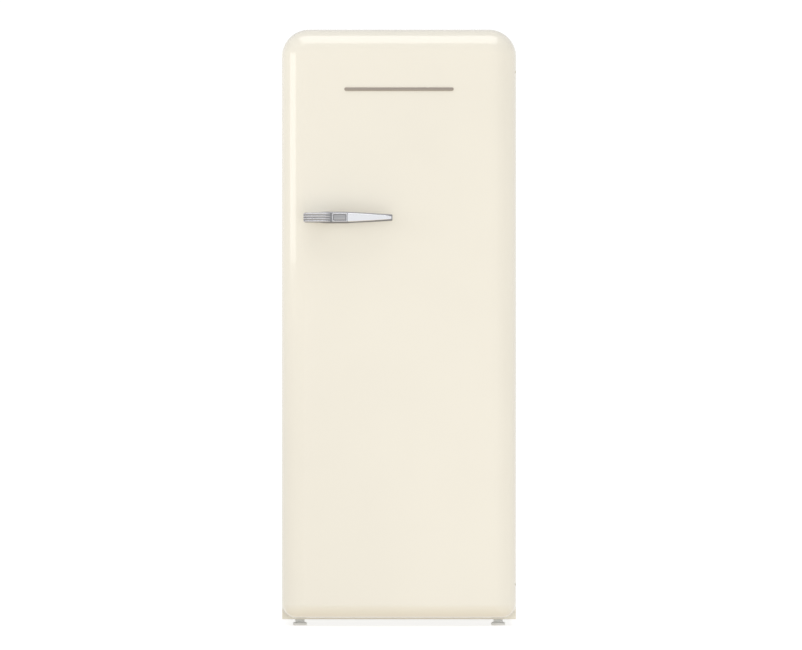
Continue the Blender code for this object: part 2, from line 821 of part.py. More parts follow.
def door_insulation(pivot):
    inner = SHEET + FIT_GAP
    rings = door_front_loops(inner)
    rings.append(door_loop(inner, inner, DOOR_REAR - inner))
    rings.append(door_loop(0.0145, 0.0145, DOOR_REAR - inner))
    rings.append(door_loop(0.0150, 0.0150, DOOR_REAR))
    rings.append(ridge_loop(0.2262, DOOR_REAR))
    rings.append(ridge_loop(0.2242, RIDGE_REAR - LINER - FIT_GAP))
    rings.append(ridge_loop(0.2068, RIDGE_REAR - LINER - FIT_GAP))
    rings.append(ridge_loop(0.2048, PAN_REAR - LINER - FIT_GAP))
    foam = add_object("door_insulation", loft(rings), "foam", pivot)
    holes = [bush_hole(level) for level in HINGE_LEVELS.values()]
    combine(foam, "DIFFERENCE", hinge_pockets() + holes)
    return foam


def door_liner(pivot):
    """Moulded inner panel: flat seal flange, raised ridge all round and a deep middle."""
    near = DOOR_REAR + FIT_GAP
    far = near + LINER
    rings = [
        ridge_loop(0.2045, PAN_REAR - LINER),
        ridge_loop(0.2065, RIDGE_REAR - LINER),
        ridge_loop(0.2245, RIDGE_REAR - LINER),
        ridge_loop(0.2265, near),
        door_loop(0.003, 0.003, near),
        door_loop(0.003, 0.003, far),
        ridge_loop(0.2280, far),
        ridge_loop(0.2260, RIDGE_REAR),
        ridge_loop(0.2050, RIDGE_REAR),
        ridge_loop(0.2030, PAN_REAR),
    ]
    liner = add_object("door_liner", loft(rings), "white_plastic", pivot)
    combine(liner, "DIFFERENCE", hinge_pockets())
    return liner


def door_gasket(pivot):
    """Magnetic seal that closes the air space between the door and the cabinet."""
    near = DOOR_REAR + LINER + 2 * FIT_GAP
    far = CABINET_FRONT - 0.0004
    inner = SEAL_OUTER + SEAL_WIDTH
    section = (
        (SEAL_OUTER, near),
        (SEAL_OUTER, near + 0.003),
        (SEAL_OUTER + 0.002, far - 0.001),
        (SEAL_OUTER + 0.003, far),
        (inner - 0.003, far),
        (inner - 0.002, far - 0.001),
        (inner, near + 0.003),
        (inner, near),
    )
    rings = [door_loop(inset, inset, y) for inset, y in section]
    return add_object("door_gasket", loft(rings, looped=True), "grey_rubber", pivot)


def handle_mount(pivot):
    """Pedestal that holds the lever off the door."""
    rings = []
    for inset, y in ((0.0, DOOR_FACE - FIT_GAP), (0.0, DOOR_FACE - 0.004), (0.002, FRONT + 0.0253)):
        left, right = MOUNT_LEFT + inset, MOUNT_RIGHT - inset
        half = MOUNT_HALF - inset
        outline = rounded(left, right, HANDLE_LEVEL - half, HANDLE_LEVEL + half, 0.006, 0.006, 4)
        rings.append(place(outline, "y", y))
    return add_object("handle_mount", loft(rings), "chrome", pivot)


def handle_section(x, half_height, front, back):
    """A flattened section with soft corners, across the lever."""
    low, high = HANDLE_LEVEL - half_height, HANDLE_LEVEL + half_height
    outline = rounded(front, back, low, high, 0.0035, 0.0035, 3)
    return place(outline, "x", x)


def handle_lever(pivot):
    """Thick grip end that runs out into a slim tapered blade."""
    rear = FRONT + 0.025
    stations = (
        (HANDLE_LEFT, 0.0120, FRONT + 0.004, rear - 0.003),
        (HANDLE_LEFT + 0.004, 0.0145, FRONT + 0.001, rear),
        (-0.1700, 0.0150, FRONT, rear),
        (-0.1330, 0.0145, FRONT, rear - 0.003),
        (-0.0750, 0.0115, FRONT + 0.003, rear - 0.004),
        (HANDLE_RIGHT - 0.003, 0.0080, FRONT + 0.009, rear - 0.003),
        (HANDLE_RIGHT, 0.0070, FRONT + 0.010, rear - 0.004),
    )
    lever = add_object("handle_lever", loft([handle_section(*s) for s in stations]), "chrome", pivot)
    low, high = HANDLE_LEVEL - WINDOW_HALF, HANDLE_LEVEL + WINDOW_HALF
    window = box(WINDOW_LEFT, WINDOW_RIGHT, FRONT - 0.01, FRONT + 0.003, low, high)
    combine(lever, "DIFFERENCE", [window])
    return lever


def handle_inset(pivot):
    """Dark plate set into the window of the lever."""
    gap = 0.0004
    half = WINDOW_HALF - gap
    low, high = HANDLE_LEVEL - half, HANDLE_LEVEL + half
    near, far = FRONT + 0.0008, FRONT + 0.0027
    shape = box(WINDOW_LEFT + gap, WINDOW_RIGHT - gap, near, far, low, high)
    return add_object("handle_inset", shape, "dark_inset", pivot)


def badge_bar(pivot):
    """Plain ornamental strip across the upper door."""
    rings = []
    for inset, y in ((0.0, DOOR_FACE - FIT_GAP), (0.0, DOOR_FACE - 0.002), (0.0008, DOOR_FACE - 0.003)):
        half = BADGE_HALF - inset
        radius = 0.0044 - inset
        outline = rounded(-half, half, BADGE_LOW + inset, BADGE_HIGH - inset, radius, radius, 4)
        rings.append(place(outline, "y", y))
    return add_object("badge_bar", loft(rings), "chrome", pivot)


def door_bin(name, low, high, pivot):
    """Open container that sits between the ridges of the door."""
    front, rear, wall = PAN_REAR + FIT_GAP, BIN_REAR, BIN_WALL
    outer, inner = [], []
    for draft in (0.004, 0.0):
        half = BIN_HALF - draft
        outer.append(rounded(-half, half, front, rear - draft, 0.003, 0.018, 4))
        half, back = half - wall, rear - draft - wall
        inner.append(rounded(-half, half, front + wall, back, 0.003, 0.016, 4))
    return add_object(name, tub(outer, inner, "z", low, high, low + wall), "clear_plastic", pivot)


def bin_rail(name, level, pivot):
    """Bright retaining wire that stands in front of the bottles."""
    half, rear, bend_radius = BIN_HALF - 0.005, BIN_REAR - 0.003, 0.020
    points = [(-half, PAN_REAR + 0.0006, level)]
    for centre, start in ((-half + bend_radius, 180), (half - bend_radius, 90)):
        for step in range(6):
            angle = math.radians(start - 90 * step / 5)
            x = centre + bend_radius * math.cos(angle)
            y = rear - bend_radius + bend_radius * math.sin(angle)
            points.append((x, y, level))
    points.append((half, PAN_REAR + 0.0006, level))
    local = [Vector(point) - pivot.location for point in points]
    item = tube_curve(name, local, RAIL_RADIUS, "chrome")
    item.parent = pivot
    return item


def dairy_lid(door_pivot):
    """Clear lid of the dairy compartment, turning on its rear edge."""
    y, z = LID_HINGE[1], LID_HINGE[2]
    front = BIN_REAR + 0.0028
    profile = [
        (y - 0.002, z - 0.0015),
        (front - 0.0022, z - 0.0015),
        (front - 0.0022, z - 0.0130),
        (front, z - 0.0130),
        (front, z + 0.0005),
        (front - 0.002, z + 0.0015),
        (y - 0.002, z + 0.0015),
    ]
    pivot = add_pivot("dairy_lid_axis", LID_HINGE)
    lid = add_object("dairy_lid", prism(profile, "x", -BIN_HALF, BIN_HALF), "clear_plastic", pivot)
    pivot.parent = door_pivot
    pivot.location = Vector(LID_HINGE) - door_pivot.location
    return lid


# ---- Cold compartment ----


def glass_plate(name, level):
    outline = rounded(-SHELF_HALF, SHELF_HALF, SHELF_FRONT, SHELF_BACK, 0.004, 0.010, 3)
    return add_object(name, prism(outline, "z", level, level + GLASS), "glass")


def shelf_trim(name, level):
    """Moulded front edge, clipped over the glass."""
    near, far, slot = SHELF_FRONT - 0.018, SHELF_FRONT + 0.008, SHELF_FRONT - FIT_GAP
    low, high = level - FIT_GAP, level + GLASS + FIT_GAP
    profile = [
        (near, low - 0.0040),
        (far, low - 0.0025),
        (far, low),
        (slot, low),
        (slot, high),
        (far, high),
        (far, high + 0.0015),
        (near + 0.003, high + 0.0040),
        (near, high + 0.0020),
    ]
    return add_object(name, prism(profile, "x", -SHELF_HALF + 0.001, SHELF_HALF - 0.001), "white_plastic")


def bottle_rack():
    """Bright wire rack: a closed frame with cross wires on which bottles lie."""
    level = RACK_LEVEL + 0.003
    frame_loops = []
    for angle_step in range(6):
        angle = math.radians(60 * angle_step)
        grow, lift = 0.003 * math.cos(angle), 0.003 * math.sin(angle)
        half = SHELF_HALF - 0.003 + grow
        front, rear = SHELF_FRONT - grow, SHELF_BACK - 0.012 + grow
        corner = 0.012 + grow
        outline = rounded(-half, half, front, rear, corner, corner, 3)
        frame_loops.append(place(outline, "z", level + lift))
    rack = add_object("bottle_rack", loft(frame_loops, looped=True), "chrome")
    wires = []
    for column in range(-6, 7):
        x, z = 0.036 * column, level + 0.0022
        wires.append(rod((x, SHELF_FRONT - 0.001, z), (x, SHELF_BACK - 0.011, z), 0.0018))
    combine(rack, "UNION", wires)
    return rack


def freezer_box():
    """Cold box under the ceiling, open to the front."""
    half, top, back = CAVITY_HALF - 0.001, CAVITY_TOP - 0.001, CAVITY_BACK - 0.001
    wall = FREEZER_WALL
    outer = rounded(-half, half, FREEZER_LOW, top, 0.014, 0.019)
    inner = rounded(-half + wall, half - wall, FREEZER_LOW + 0.022, top - 0.020, 0.010, 0.010)
    shape = tub([outer, outer], [inner, inner], "y", back, FREEZER_FRONT, back - wall)
    return add_object("freezer_box", shape, "aluminium")


def freezer_flap():
    """Insulated flap that drops forward from the freezer box."""
    pivot = add_pivot("freezer_flap_axis", FLAP_HINGE)
    rear, front = FREEZER_FRONT - 0.0025, FREEZER_FRONT - 0.022
    rings = []
    for inset, y in ((0.004, rear), (0.0, rear - 0.003), (0.0, front + 0.004), (0.005, front)):
        half = FLAP_HALF - inset
        outline = rounded(-half, half, FLAP_LOW + inset, FLAP_HIGH - inset, 0.012, 0.016, 4)
        rings.append(place(outline, "y", y))
    flap = add_object("freezer_flap", loft(rings), "white_plastic", pivot)
    grip = box(-0.06, 0.06, front - 0.01, front + 0.009, 1.4350, 1.4470)
    combine(flap, "DIFFERENCE", [grip])
    return flap


def crisper_drawer():
    """Clear vegetable drawer on the compartment floor."""
    pivot = add_pivot("crisper_drawer_axis", (0.0, DRAWER_FRONT, CAVITY_FLOOR))
    wall = 0.0025
    loops = []
    for inset in (0.0, wall):
        pair = []
        for draft in (0.010, 0.0):
            half = DRAWER_HALF - inset - draft
            front, rear = DRAWER_FRONT + inset, DRAWER_REAR - inset - draft
            pair.append(rounded(-half, half, front, rear, 0.008, 0.012, 4))
        loops.append(pair)
    base = CAVITY_FLOOR + 0.0008
    shape = tub(loops[0], loops[1], "z", base, DRAWER_TOP, base + wall)
    return add_object("crisper_drawer", shape, "clear_plastic", pivot)


def wall_cover(front, back):
    """A rounded shell on the side wall, open towards the wall."""
    wall, corner = HOUSING_WALL, HOUSING_CORNER
    outer = rounded(front, back, CONTROL_LOW, CONTROL_HIGH, corner, corner, 4)
    low, high = CONTROL_LOW + wall, CONTROL_HIGH - wall
    inner = rounded(front + wall, back - wall, low, high, corner - wall, corner - wall, 4)
    rim = CAVITY_HALF - FIT_GAP
    return tub([outer, outer], [inner, inner], "x", CONTROL_X, rim, CONTROL_X + wall)


def control_housing():
    """Hollow cover for the thermostat and the lamp switch, open towards the wall."""
    shape = wall_cover(CONTROL_FRONT, CONTROL_BACK)
    housing = add_object("control_housing", shape, "white_plastic")
    knob_bore = turned([(0.0050, CONTROL_X - 0.01), (0.0050, CONTROL_X + 0.01)], "x", KNOB_AXIS, 12)
    front = CONTROL_FRONT
    switch_bore = turned([(0.0045, front - 0.01), (0.0045, front + 0.01)], "y", PLUNGER_AXIS, 12)
    combine(housing, "DIFFERENCE", [knob_bore, switch_bore])
    return housing


def thermostat_knob():
    pivot = add_pivot("thermostat_knob_axis", KNOB_AXIS)
    face = CONTROL_X
    profile = (
        (0.0120, face - 0.0180),
        (0.0155, face - 0.0160),
        (0.0165, face - 0.0008),
        (0.0043, face - 0.0008),
        (0.0043, face + 0.0140),
    )
    return add_object("thermostat_knob", turned(profile, "x", KNOB_AXIS, 20), "white_plastic", pivot)


def switch_plunger():
    """Lamp switch pin, held in by the ridge of the closed door."""
    pivot = add_pivot("switch_plunger_axis", PLUNGER_AXIS)
    tip, collar, end = RIDGE_REAR + 0.0004, -0.1525, -0.1500
    profile = [(0.0025, tip), (0.0038, tip + 0.002), (0.0038, collar), (0.0060, collar), (0.0060, end)]
    return add_object("switch_plunger", turned(profile, "y", PLUNGER_AXIS, 12), "white_plastic", pivot)


def lamp_cover():
    """Clear cover over the lamp, behind the control housing."""
    return add_object("lamp_cover", wall_cover(CONTROL_BACK + FIT_GAP, LAMP_BACK), "clear_plastic")


def lamp_bulb():
    start = CONTROL_BACK + 0.003
    profile = (
        (0.008, start),
        (0.008, start + 0.018),
        (0.007, start + 0.021),
        (0.012, start + 0.032),
        (0.013, start + 0.042),
        (0.009, start + 0.052),
        (0.002, start + 0.055),
    )
    return add_object("lamp_bulb", turned(profile, "y", LAMP_AXIS, 12), "glass")


def build_cabinet():
    outer_cabinet()
    front_lower_rail()
    cabinet_insulation()
    inner_liner()
    base_plate()
    back_panel()
    machine_bay_panel()


def build_machine():
    compressor()
    compressor_rail()
    start_relay_cover()
    evaporation_tray()
    drain_tube()
    filter_drier()
    condenser_coil()
    condenser_wires()
    suction_line()
    mains_inlet()
    for side in (-1, 1):
        wall_spacer(side)
        levelling_foot(side)
        roller(side)
        roller_bracket(side)


def build_interior():
    glass_plate("glass_shelf_upper", UPPER_SHELF)
    glass_plate("glass_shelf_lower", LOWER_SHELF)
    glass_plate("crisper_cover", COVER_LEVEL)
    shelf_trim("shelf_trim_upper", UPPER_SHELF)
    shelf_trim("shelf_trim_lower", LOWER_SHELF)
    bottle_rack()
    freezer_box()
    freezer_flap()
    crisper_drawer()
    control_housing()
    thermostat_knob()
    switch_plunger()
    lamp_cover()
    lamp_bulb()


def build_door():
    pivot = add_pivot("door_hinge_axis", (HINGE_X, HINGE_Y, 0.0))
    door_skin(pivot)
    door_insulation(pivot)
    door_liner(pivot)
    door_gasket(pivot)
    handle_mount(pivot)
    handle_lever(pivot)
    handle_inset(pivot)
    badge_bar(pivot)
    door_bin("dairy_shelf", DAIRY_LOW, DAIRY_TOP, pivot)
    door_bin("door_shelf", *JAR_SHELF, pivot)
    door_bin("bottle_shelf", *BOTTLE_SHELF, pivot)
    bin_rail("door_shelf_rail", JAR_RAIL, pivot)
    bin_rail("bottle_shelf_rail", BOTTLE_RAIL, pivot)
    dairy_lid(pivot)
    for where, level in HINGE_LEVELS.items():
        hinge_bracket(where, level)
        hinge_pin(where, level)
        hinge_bush(where, level, pivot)


def main():
    clear_scene()
    build_cabinet()
    build_machine()
    build_interior()
    build_door()


main()
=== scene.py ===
"""A tall cream refrigerator with one door, standing on a pale studio floor.

Metres, +Z up, the door faces -Y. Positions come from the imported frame.
"""

import math

import bmesh
import bpy
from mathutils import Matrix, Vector


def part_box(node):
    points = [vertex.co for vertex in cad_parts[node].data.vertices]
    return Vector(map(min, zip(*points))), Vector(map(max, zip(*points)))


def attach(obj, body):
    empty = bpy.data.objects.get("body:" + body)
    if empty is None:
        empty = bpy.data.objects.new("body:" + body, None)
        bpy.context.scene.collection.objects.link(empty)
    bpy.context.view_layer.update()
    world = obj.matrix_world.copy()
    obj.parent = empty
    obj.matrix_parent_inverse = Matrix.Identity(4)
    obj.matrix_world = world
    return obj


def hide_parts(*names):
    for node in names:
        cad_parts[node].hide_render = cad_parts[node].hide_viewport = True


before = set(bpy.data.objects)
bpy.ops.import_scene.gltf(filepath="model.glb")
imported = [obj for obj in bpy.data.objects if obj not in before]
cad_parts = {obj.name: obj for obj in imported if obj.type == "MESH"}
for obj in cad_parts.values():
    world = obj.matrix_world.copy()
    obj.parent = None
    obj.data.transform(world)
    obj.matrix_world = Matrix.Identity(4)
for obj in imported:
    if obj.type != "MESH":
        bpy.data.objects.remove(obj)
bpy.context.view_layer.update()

# Planes and outlines shared by several pieces.
DOOR_LOW, DOOR_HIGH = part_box("door_skin")
CABINET_LOW, CABINET_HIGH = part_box("outer_cabinet")
HALF_WIDTH = DOOR_HIGH.x
DOOR_FACE = DOOR_LOW.y
DOOR_REAR = DOOR_HIGH.y
CORNER_RADIUS = 0.07
DOOR_LOW_RADIUS = 0.038
DOOR_SIDE_ROUND = 0.06
DOOR_LOW_ROUND = 0.036
DOOR_CROWN = 0.0012
SHEET = 0.001
CURVE_STEPS = 20
SHARP_ANGLE = math.radians(32)
HINGE_PLATES = ("top_hinge_bracket", "bottom_hinge_bracket")

# The camera stands far off, level with the middle of the view.
CAMERA_DISTANCE = 20.0
VIEW_WIDTH = 2.0555
VIEW_CENTRE_X = 0.0051
VIEW_CENTRE_Z = 0.773
SENSOR = 36.0


# ---- Shapes ----


def sweep(start, end, steps):
    """Even angles between two given in degrees, in radians."""
    return [math.radians(start + (end - start) * step / steps) for step in range(steps + 1)]


def arc(u, v, radius, start, end, steps=CURVE_STEPS):
    """Points on a circle between two angles in degrees."""
    return [(u + radius * math.cos(a), v + radius * math.sin(a)) for a in sweep(start, end, steps)]


def quarter_round(inset, radius, offset):
    """A rounded edge as (inset, offset) layers, from this offset until it runs straight on."""
    return [
        (inset + radius * (1 - math.sin(a)), offset + radius * (1 - math.cos(a)))
        for a in sweep(0, 90, 5)
    ]


def rounded(u0, u1, v0, v1, low_radius, high_radius, steps=CURVE_STEPS):
    """A rectangle with rounded corners, as one loop of (u, v) points."""
    corners = (
        (u1 - low_radius, v0 + low_radius, low_radius, -90),
        (u1 - high_radius, v1 - high_radius, high_radius, 0),
        (u0 + high_radius, v1 - high_radius, high_radius, 90),
        (u0 + low_radius, v0 + low_radius, low_radius, 180),
    )
    points = []
    for u, v, radius, start in corners:
        points += arc(u, v, radius, start, start + 90, steps)
    return points


def circle(u, v, radius, steps):
    """A circle as one loop of (u, v) points."""
    return arc(u, v, radius, 0, 360, steps)[:-1]


def place(points, axis, offset):
    """Plane points as points in space, on the plane at this offset along the axis."""
    if axis == "x":
        return [(offset, u, v) for u, v in points]
    if axis == "y":
        return [(u, offset, v) for u, v in points]
    return [(u, v, offset) for u, v in points]


def upright(low, high, inset, radius, y, steps):
    """An upright outline, this far inside a box seen from the front."""
    outline = rounded(low.x + inset, high.x - inset, low.z + inset, high.z - inset, radius, radius, steps)
    return place(outline, "y", y)


def loft(rings, looped=False, caps=(True, True)):
    """Faces between loops of equal length."""
    shape = bmesh.new()
    rows = [[shape.verts.new(point) for point in ring] for ring in rings]
    pairs = list(zip(rows, rows[1:]))
    if looped:
        pairs.append((rows[-1], rows[0]))
    else:
        for wanted, row in zip(caps, (rows[0], rows[-1])):
            if wanted:
                shape.faces.new(row)
    for near, far in pairs:
        for i, corner in enumerate(near):
            j = (i + 1) % len(near)
            shape.faces.new((corner, near[j], far[j], far[i]))
    bmesh.ops.recalc_face_normals(shape, faces=shape.faces)
    return shape


def box_shape(x0, x1, y0, y1, z0, z1):
    """A block between these planes."""
    ring = [(x0, y0), (x1, y0), (x1, y1), (x0, y1)]
    return loft([place(ring, "z", z0), place(ring, "z", z1)])


def turned(profile, axis, centre, steps):
    """A solid of revolution: (radius, offset) pairs along the axis through the centre."""
    u, v = [value for name, value in zip("xyz", centre) if name != axis]
    return loft([place(circle(u, v, radius, steps), axis, offset) for radius, offset in profile])


def rod(start, end, radius, sides=12):
    """A straight wire between two points."""
    start, end = Vector(start), Vector(end)
    spin = (end - start).to_track_quat("Z", "Y")
    ring = [spin @ Vector((u, v, 0)) for u, v in circle(0, 0, radius, sides)]
    return loft([[start + p for p in ring], [end + p for p in ring]])


def middle_of(node):
    """The point halfway between a node's lowest and highest corners."""
    low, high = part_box(node)
    return (low + high) / 2


def to_mesh(name, shape):
    """A mesh from a shape, which is used up."""
    mesh = bpy.data.meshes.new(name)
    shape.to_mesh(mesh)
    shape.free()
    return mesh


def merged(shapes):
    """Several shapes as one."""
    whole = bmesh.new()
    for shape in shapes:
        mesh = to_mesh("part", shape)
        whole.from_mesh(mesh)
        bpy.data.meshes.remove(mesh)
    return whole


def add(item):
    """Puts an object into the scene."""
    bpy.context.scene.collection.objects.link(item)


def soft_edges(item, width):
    """Rounds the edges of an object and evens its shading."""
    bevel = item.modifiers.new("Soft edges", "BEVEL")
    bevel.width = width
    bevel.segments = 3
    bevel.limit_method = "ANGLE"
    bevel.angle_limit = math.radians(30)
    bevel.harden_normals = False
    item.modifiers.new("Even shading", "WEIGHTED_NORMAL").keep_sharp = True


def piece(name, shape, finish, body, replaced=(), bevel=0.0):
    """A named object from a shape in the frame, riding on a body."""
    mesh = to_mesh(name, shape)
    mesh.shade_smooth()
    if not bevel:
        mesh.set_sharp_from_angle(angle=SHARP_ANGLE)
    item = bpy.data.objects.new(name, mesh)
    if bevel:
        soft_edges(item, bevel)
    return mounted(item, finish, body, replaced)


def mounted(item, finish, body, replaced):
    """Adds a piece to the scene, with its finish, on its body and in place of these CAD nodes."""
    item.data.materials.append(FINISHES[finish])
    add(item)
    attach(item, body)
    if replaced:
        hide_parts(*replaced)
    return item


def wire(name, points, radius, finish, body, replaced=(), cyclic=False):
    """A round wire or tube along a run of points."""
    curve = bpy.data.curves.new(name, "CURVE")
    curve.dimensions = "3D"
    curve.bevel_depth = radius
    curve.bevel_resolution = 4
    curve.use_fill_caps = True
    spline = curve.splines.new("POLY")
    spline.points.add(len(points) - 1)
    spline.use_cyclic_u = cyclic
    spline.use_smooth = True
    for target, point in zip(spline.points, points):
        target.co = (*point, 1.0)
    return mounted(bpy.data.objects.new(name, curve), finish, body, replaced)


def cut(item, shape):
    """Cuts this shape from a finished piece."""
    cutter = bpy.data.objects.new("cutter", to_mesh("cutter", shape))
    add(cutter)
    modifier = item.modifiers.new("Cut", "BOOLEAN")
    modifier.solver = "EXACT"
    modifier.object = cutter
    graph = bpy.context.evaluated_depsgraph_get()
    result = bpy.data.meshes.new_from_object(item.evaluated_get(graph))
    item.modifiers.remove(modifier)
    item.data = result
    bpy.data.objects.remove(cutter)


# ---- Materials ----


NOISE = "ShaderNodeTexNoise"
VORONOI = "ShaderNodeTexVoronoi"


def new_material(name, colour, roughness, metallic=0.0, **sockets):
    """A Principled material with its plain sockets set."""
    material = bpy.data.materials.new(f"{name}_finish")
    material.use_nodes = True
    shader = material.node_tree.nodes["Principled BSDF"]
    shader.inputs["Base Color"].default_value = (*colour, 1.0)
    shader.inputs["Roughness"].default_value = roughness
    shader.inputs["Metallic"].default_value = metallic
    for socket, value in sockets.items():
        shader.inputs[socket.replace("_", " ")].default_value = value
    return material


def texture(material, kind, scale, stretch=(1, 1, 1), **settings):
    """A procedural texture in the object's own coordinates. Returns its factor output."""
    nodes, links = material.node_tree.nodes, material.node_tree.links
    where = nodes.new("ShaderNodeTexCoord")
    mapping = nodes.new("ShaderNodeMapping")
    mapping.inputs["Scale"].default_value = stretch
    links.new(where.outputs["Object"], mapping.inputs["Vector"])
    pattern = nodes.new(kind)
    pattern.inputs["Scale"].default_value = scale
    for socket, value in settings.items():
        pattern.inputs[socket].default_value = value
    links.new(mapping.outputs["Vector"], pattern.inputs["Vector"])
    return pattern.outputs["Distance" if kind == VORONOI else 0]


def vary_colour(material, factor, dark, light, low=0.3, high=0.7):
    """The base colour runs between two colours with this factor."""
    nodes, links = material.node_tree.nodes, material.node_tree.links
    ramp = nodes.new("ShaderNodeValToRGB")
    ramp.color_ramp.elements[0].position = low
    ramp.color_ramp.elements[1].position = high
    ramp.color_ramp.elements[0].color = (*dark, 1.0)
    ramp.color_ramp.elements[1].color = (*light, 1.0)
    links.new(factor, ramp.inputs["Fac"])
    links.new(ramp.outputs["Color"], nodes["Principled BSDF"].inputs["Base Color"])


def vary_roughness(material, factor, low, high):
    """The roughness runs from low to high with this factor."""
    nodes, links = material.node_tree.nodes, material.node_tree.links
    spread = nodes.new("ShaderNodeMapRange")
    spread.inputs["To Min"].default_value = low
    spread.inputs["To Max"].default_value = high
    links.new(factor, spread.inputs["Value"])
    links.new(spread.outputs["Result"], nodes["Principled BSDF"].inputs["Roughness"])


def add_bump(material, factor, distance, strength=1.0):
    """Relief of this height in metres."""
    nodes, links = material.node_tree.nodes, material.node_tree.links
    bump = nodes.new("ShaderNodeBump")
    bump.inputs["Distance"].default_value = distance
    bump.inputs["Strength"].default_value = strength
    links.new(factor, bump.inputs["Height"])
    links.new(bump.outputs["Normal"], nodes["Principled BSDF"].inputs["Normal"])


def tinted(colour, share):
    """A lighter or darker share of a colour."""
    return tuple(value * share for value in colour)


def grained(name, colour, roughness, metallic, grain, depth, spread):
    """A material with a soft mottling of colour and gloss, and a fine grain in relief."""
    material = new_material(name, colour, roughness, metallic)
    cloud = texture(material, NOISE, 7.0, Detail=3.0)
    vary_colour(material, cloud, tinted(colour, 1 - spread), tinted(colour, 1 + spread / 3))
    fine = texture(material, NOISE, grain, Detail=2.0)
    vary_roughness(material, fine, roughness * 0.8, roughness * 1.25)
    add_bump(material, fine, depth)
    return material


def cream_enamel():
    """Stove-hardened cream enamel, with a faint orange-peel surface."""
    colour = (0.788, 0.75, 0.65)
    material = new_material(
        "cream", colour, 0.16, Coat_Weight=0.55, Coat_Roughness=0.04, Coat_IOR=1.5
    )
    cloud = texture(material, NOISE, 2.2, Detail=3.0)
    vary_colour(material, cloud, tinted(colour, 0.975), tinted(colour, 1.01))
    peel = texture(material, NOISE, 260.0, Detail=1.5)
    vary_roughness(material, peel, 0.13, 0.2)
    add_bump(material, peel, 0.00003, 0.5)
    return material


def brushed(name, colour, roughness, across):
    """Metal with fine brushing along X."""
    material = new_material(name, colour, roughness, 1.0)
    lines = texture(material, NOISE, 60.0, (0.15, across, across), Detail=4.0)
    vary_colour(material, lines, tinted(colour, 0.86), colour)
    vary_roughness(material, lines, roughness * 0.7, roughness * 1.3)
    add_bump(material, lines, 0.00004)
    return material


def galvanised():
    """Zinc-coated sheet with its crystal pattern."""
    colour = (0.6, 0.62, 0.63)
    material = new_material("zinc", colour, 0.4, 1.0)
    flakes = texture(material, VORONOI, 120.0, Randomness=1.0)
    vary_colour(material, flakes, tinted(colour, 0.9), tinted(colour, 1.04), 0.1, 0.8)
    fine = texture(material, NOISE, 90.0, Detail=3.0)
    vary_roughness(material, fine, 0.3, 0.48)
    add_bump(material, flakes, 0.00003)
    return material


def clear(name, colour, transmission, roughness, ior, alpha):
    """Clear plastic or glass, with a faint unevenness."""
    material = new_material(
        name, colour, roughness, Transmission_Weight=transmission, IOR=ior, Alpha=alpha
    )
    fine = texture(material, NOISE, 30.0, Detail=2.0)
    vary_roughness(material, fine, roughness * 0.6, roughness * 1.4)
    add_bump(material, fine, 0.00004)
    return material


# Grained finishes: colour, roughness, metallic, scale of the grain, its depth, colour spread.
GRAINED = {
    "white": ((0.84, 0.84, 0.82), 0.3, 0.0, 420.0, 0.00004, 0.05),
    "ivory": ((0.8, 0.8, 0.78), 0.35, 0.0, 300.0, 0.00004, 0.05),
    "grey_plastic": ((0.74, 0.74, 0.72), 0.5, 0.0, 350.0, 0.0001, 0.05),
    "black_plastic": ((0.03, 0.03, 0.031), 0.48, 0.0, 350.0, 0.0001, 0.2),
    "black_steel": ((0.022, 0.022, 0.023), 0.36, 0.0, 200.0, 0.00008, 0.2),
    "mark": ((0.1, 0.11, 0.13), 0.4, 0.0, 300.0, 0.00002, 0.05),
    "lining": ((0.8, 0.81, 0.82), 0.36, 0.0, 160.0, 0.00008, 0.05),
    "rubber": ((0.62, 0.62, 0.6), 0.55, 0.0, 380.0, 0.00006, 0.05),
    "foam": ((0.8, 0.68, 0.38), 0.9, 0.0, 140.0, 0.0005, 0.15),
    "frosted": ((0.92, 0.9, 0.84), 0.25, 0.0, 300.0, 0.00002, 0.05),
    "chrome": ((0.86, 0.87, 0.88), 0.07, 1.0, 500.0, 0.000005, 0.03),
    "blade": ((0.76, 0.77, 0.8), 0.1, 1.0, 500.0, 0.000005, 0.02),
    "copper": ((0.7, 0.36, 0.22), 0.28, 1.0, 160.0, 0.00004, 0.18),
}

# Brushed metals: colour, roughness, fineness of the lines.
BRUSHED = {
    "satin": ((0.62, 0.62, 0.64), 0.24, 8),
    # The dark handle body: its colour is painted shade along the handle's edges and in the grooves of the
    # grip.
    "gunmetal": ((0.29, 0.29, 0.3), 0.3, 8),
    "inset": ((0.5, 0.5, 0.51), 0.34, 10),
    "badge": ((0.42, 0.37, 0.32), 0.3, 8),
}

# Clear finishes: colour, transmission, roughness, index of refraction, alpha.
CLEAR = {
    "clear": ((0.93, 0.95, 0.96), 0.55, 0.06, 1.49, 0.42),
    "glass": ((0.86, 0.96, 0.92), 0.8, 0.02, 1.52, 0.55),
}


def make_finishes():
    """Every finish on the object, by name."""
    finishes = {"cream": cream_enamel(), "zinc": galvanised()}
    for make, table in ((grained, GRAINED), (brushed, BRUSHED), (clear, CLEAR)):
        for name, values in table.items():
            finishes[name] = make(name, *values)
    return finishes


FINISHES = make_finishes()


# ---- Door ----


def door_loop(side_inset, low_inset, y):
    """The door's outline, drawn in by its own amount at the sides and top and at the bottom."""
    half = HALF_WIDTH - side_inset
    top_radius = max(CORNER_RADIUS - side_inset, 0.002)
    low_radius = max(DOOR_LOW_RADIUS - low_inset, 0.002)
    low, high = DOOR_LOW.z + low_inset, DOOR_HIGH.z - side_inset
    return place(rounded(-half, half, low, high, low_radius, top_radius), "y", y)


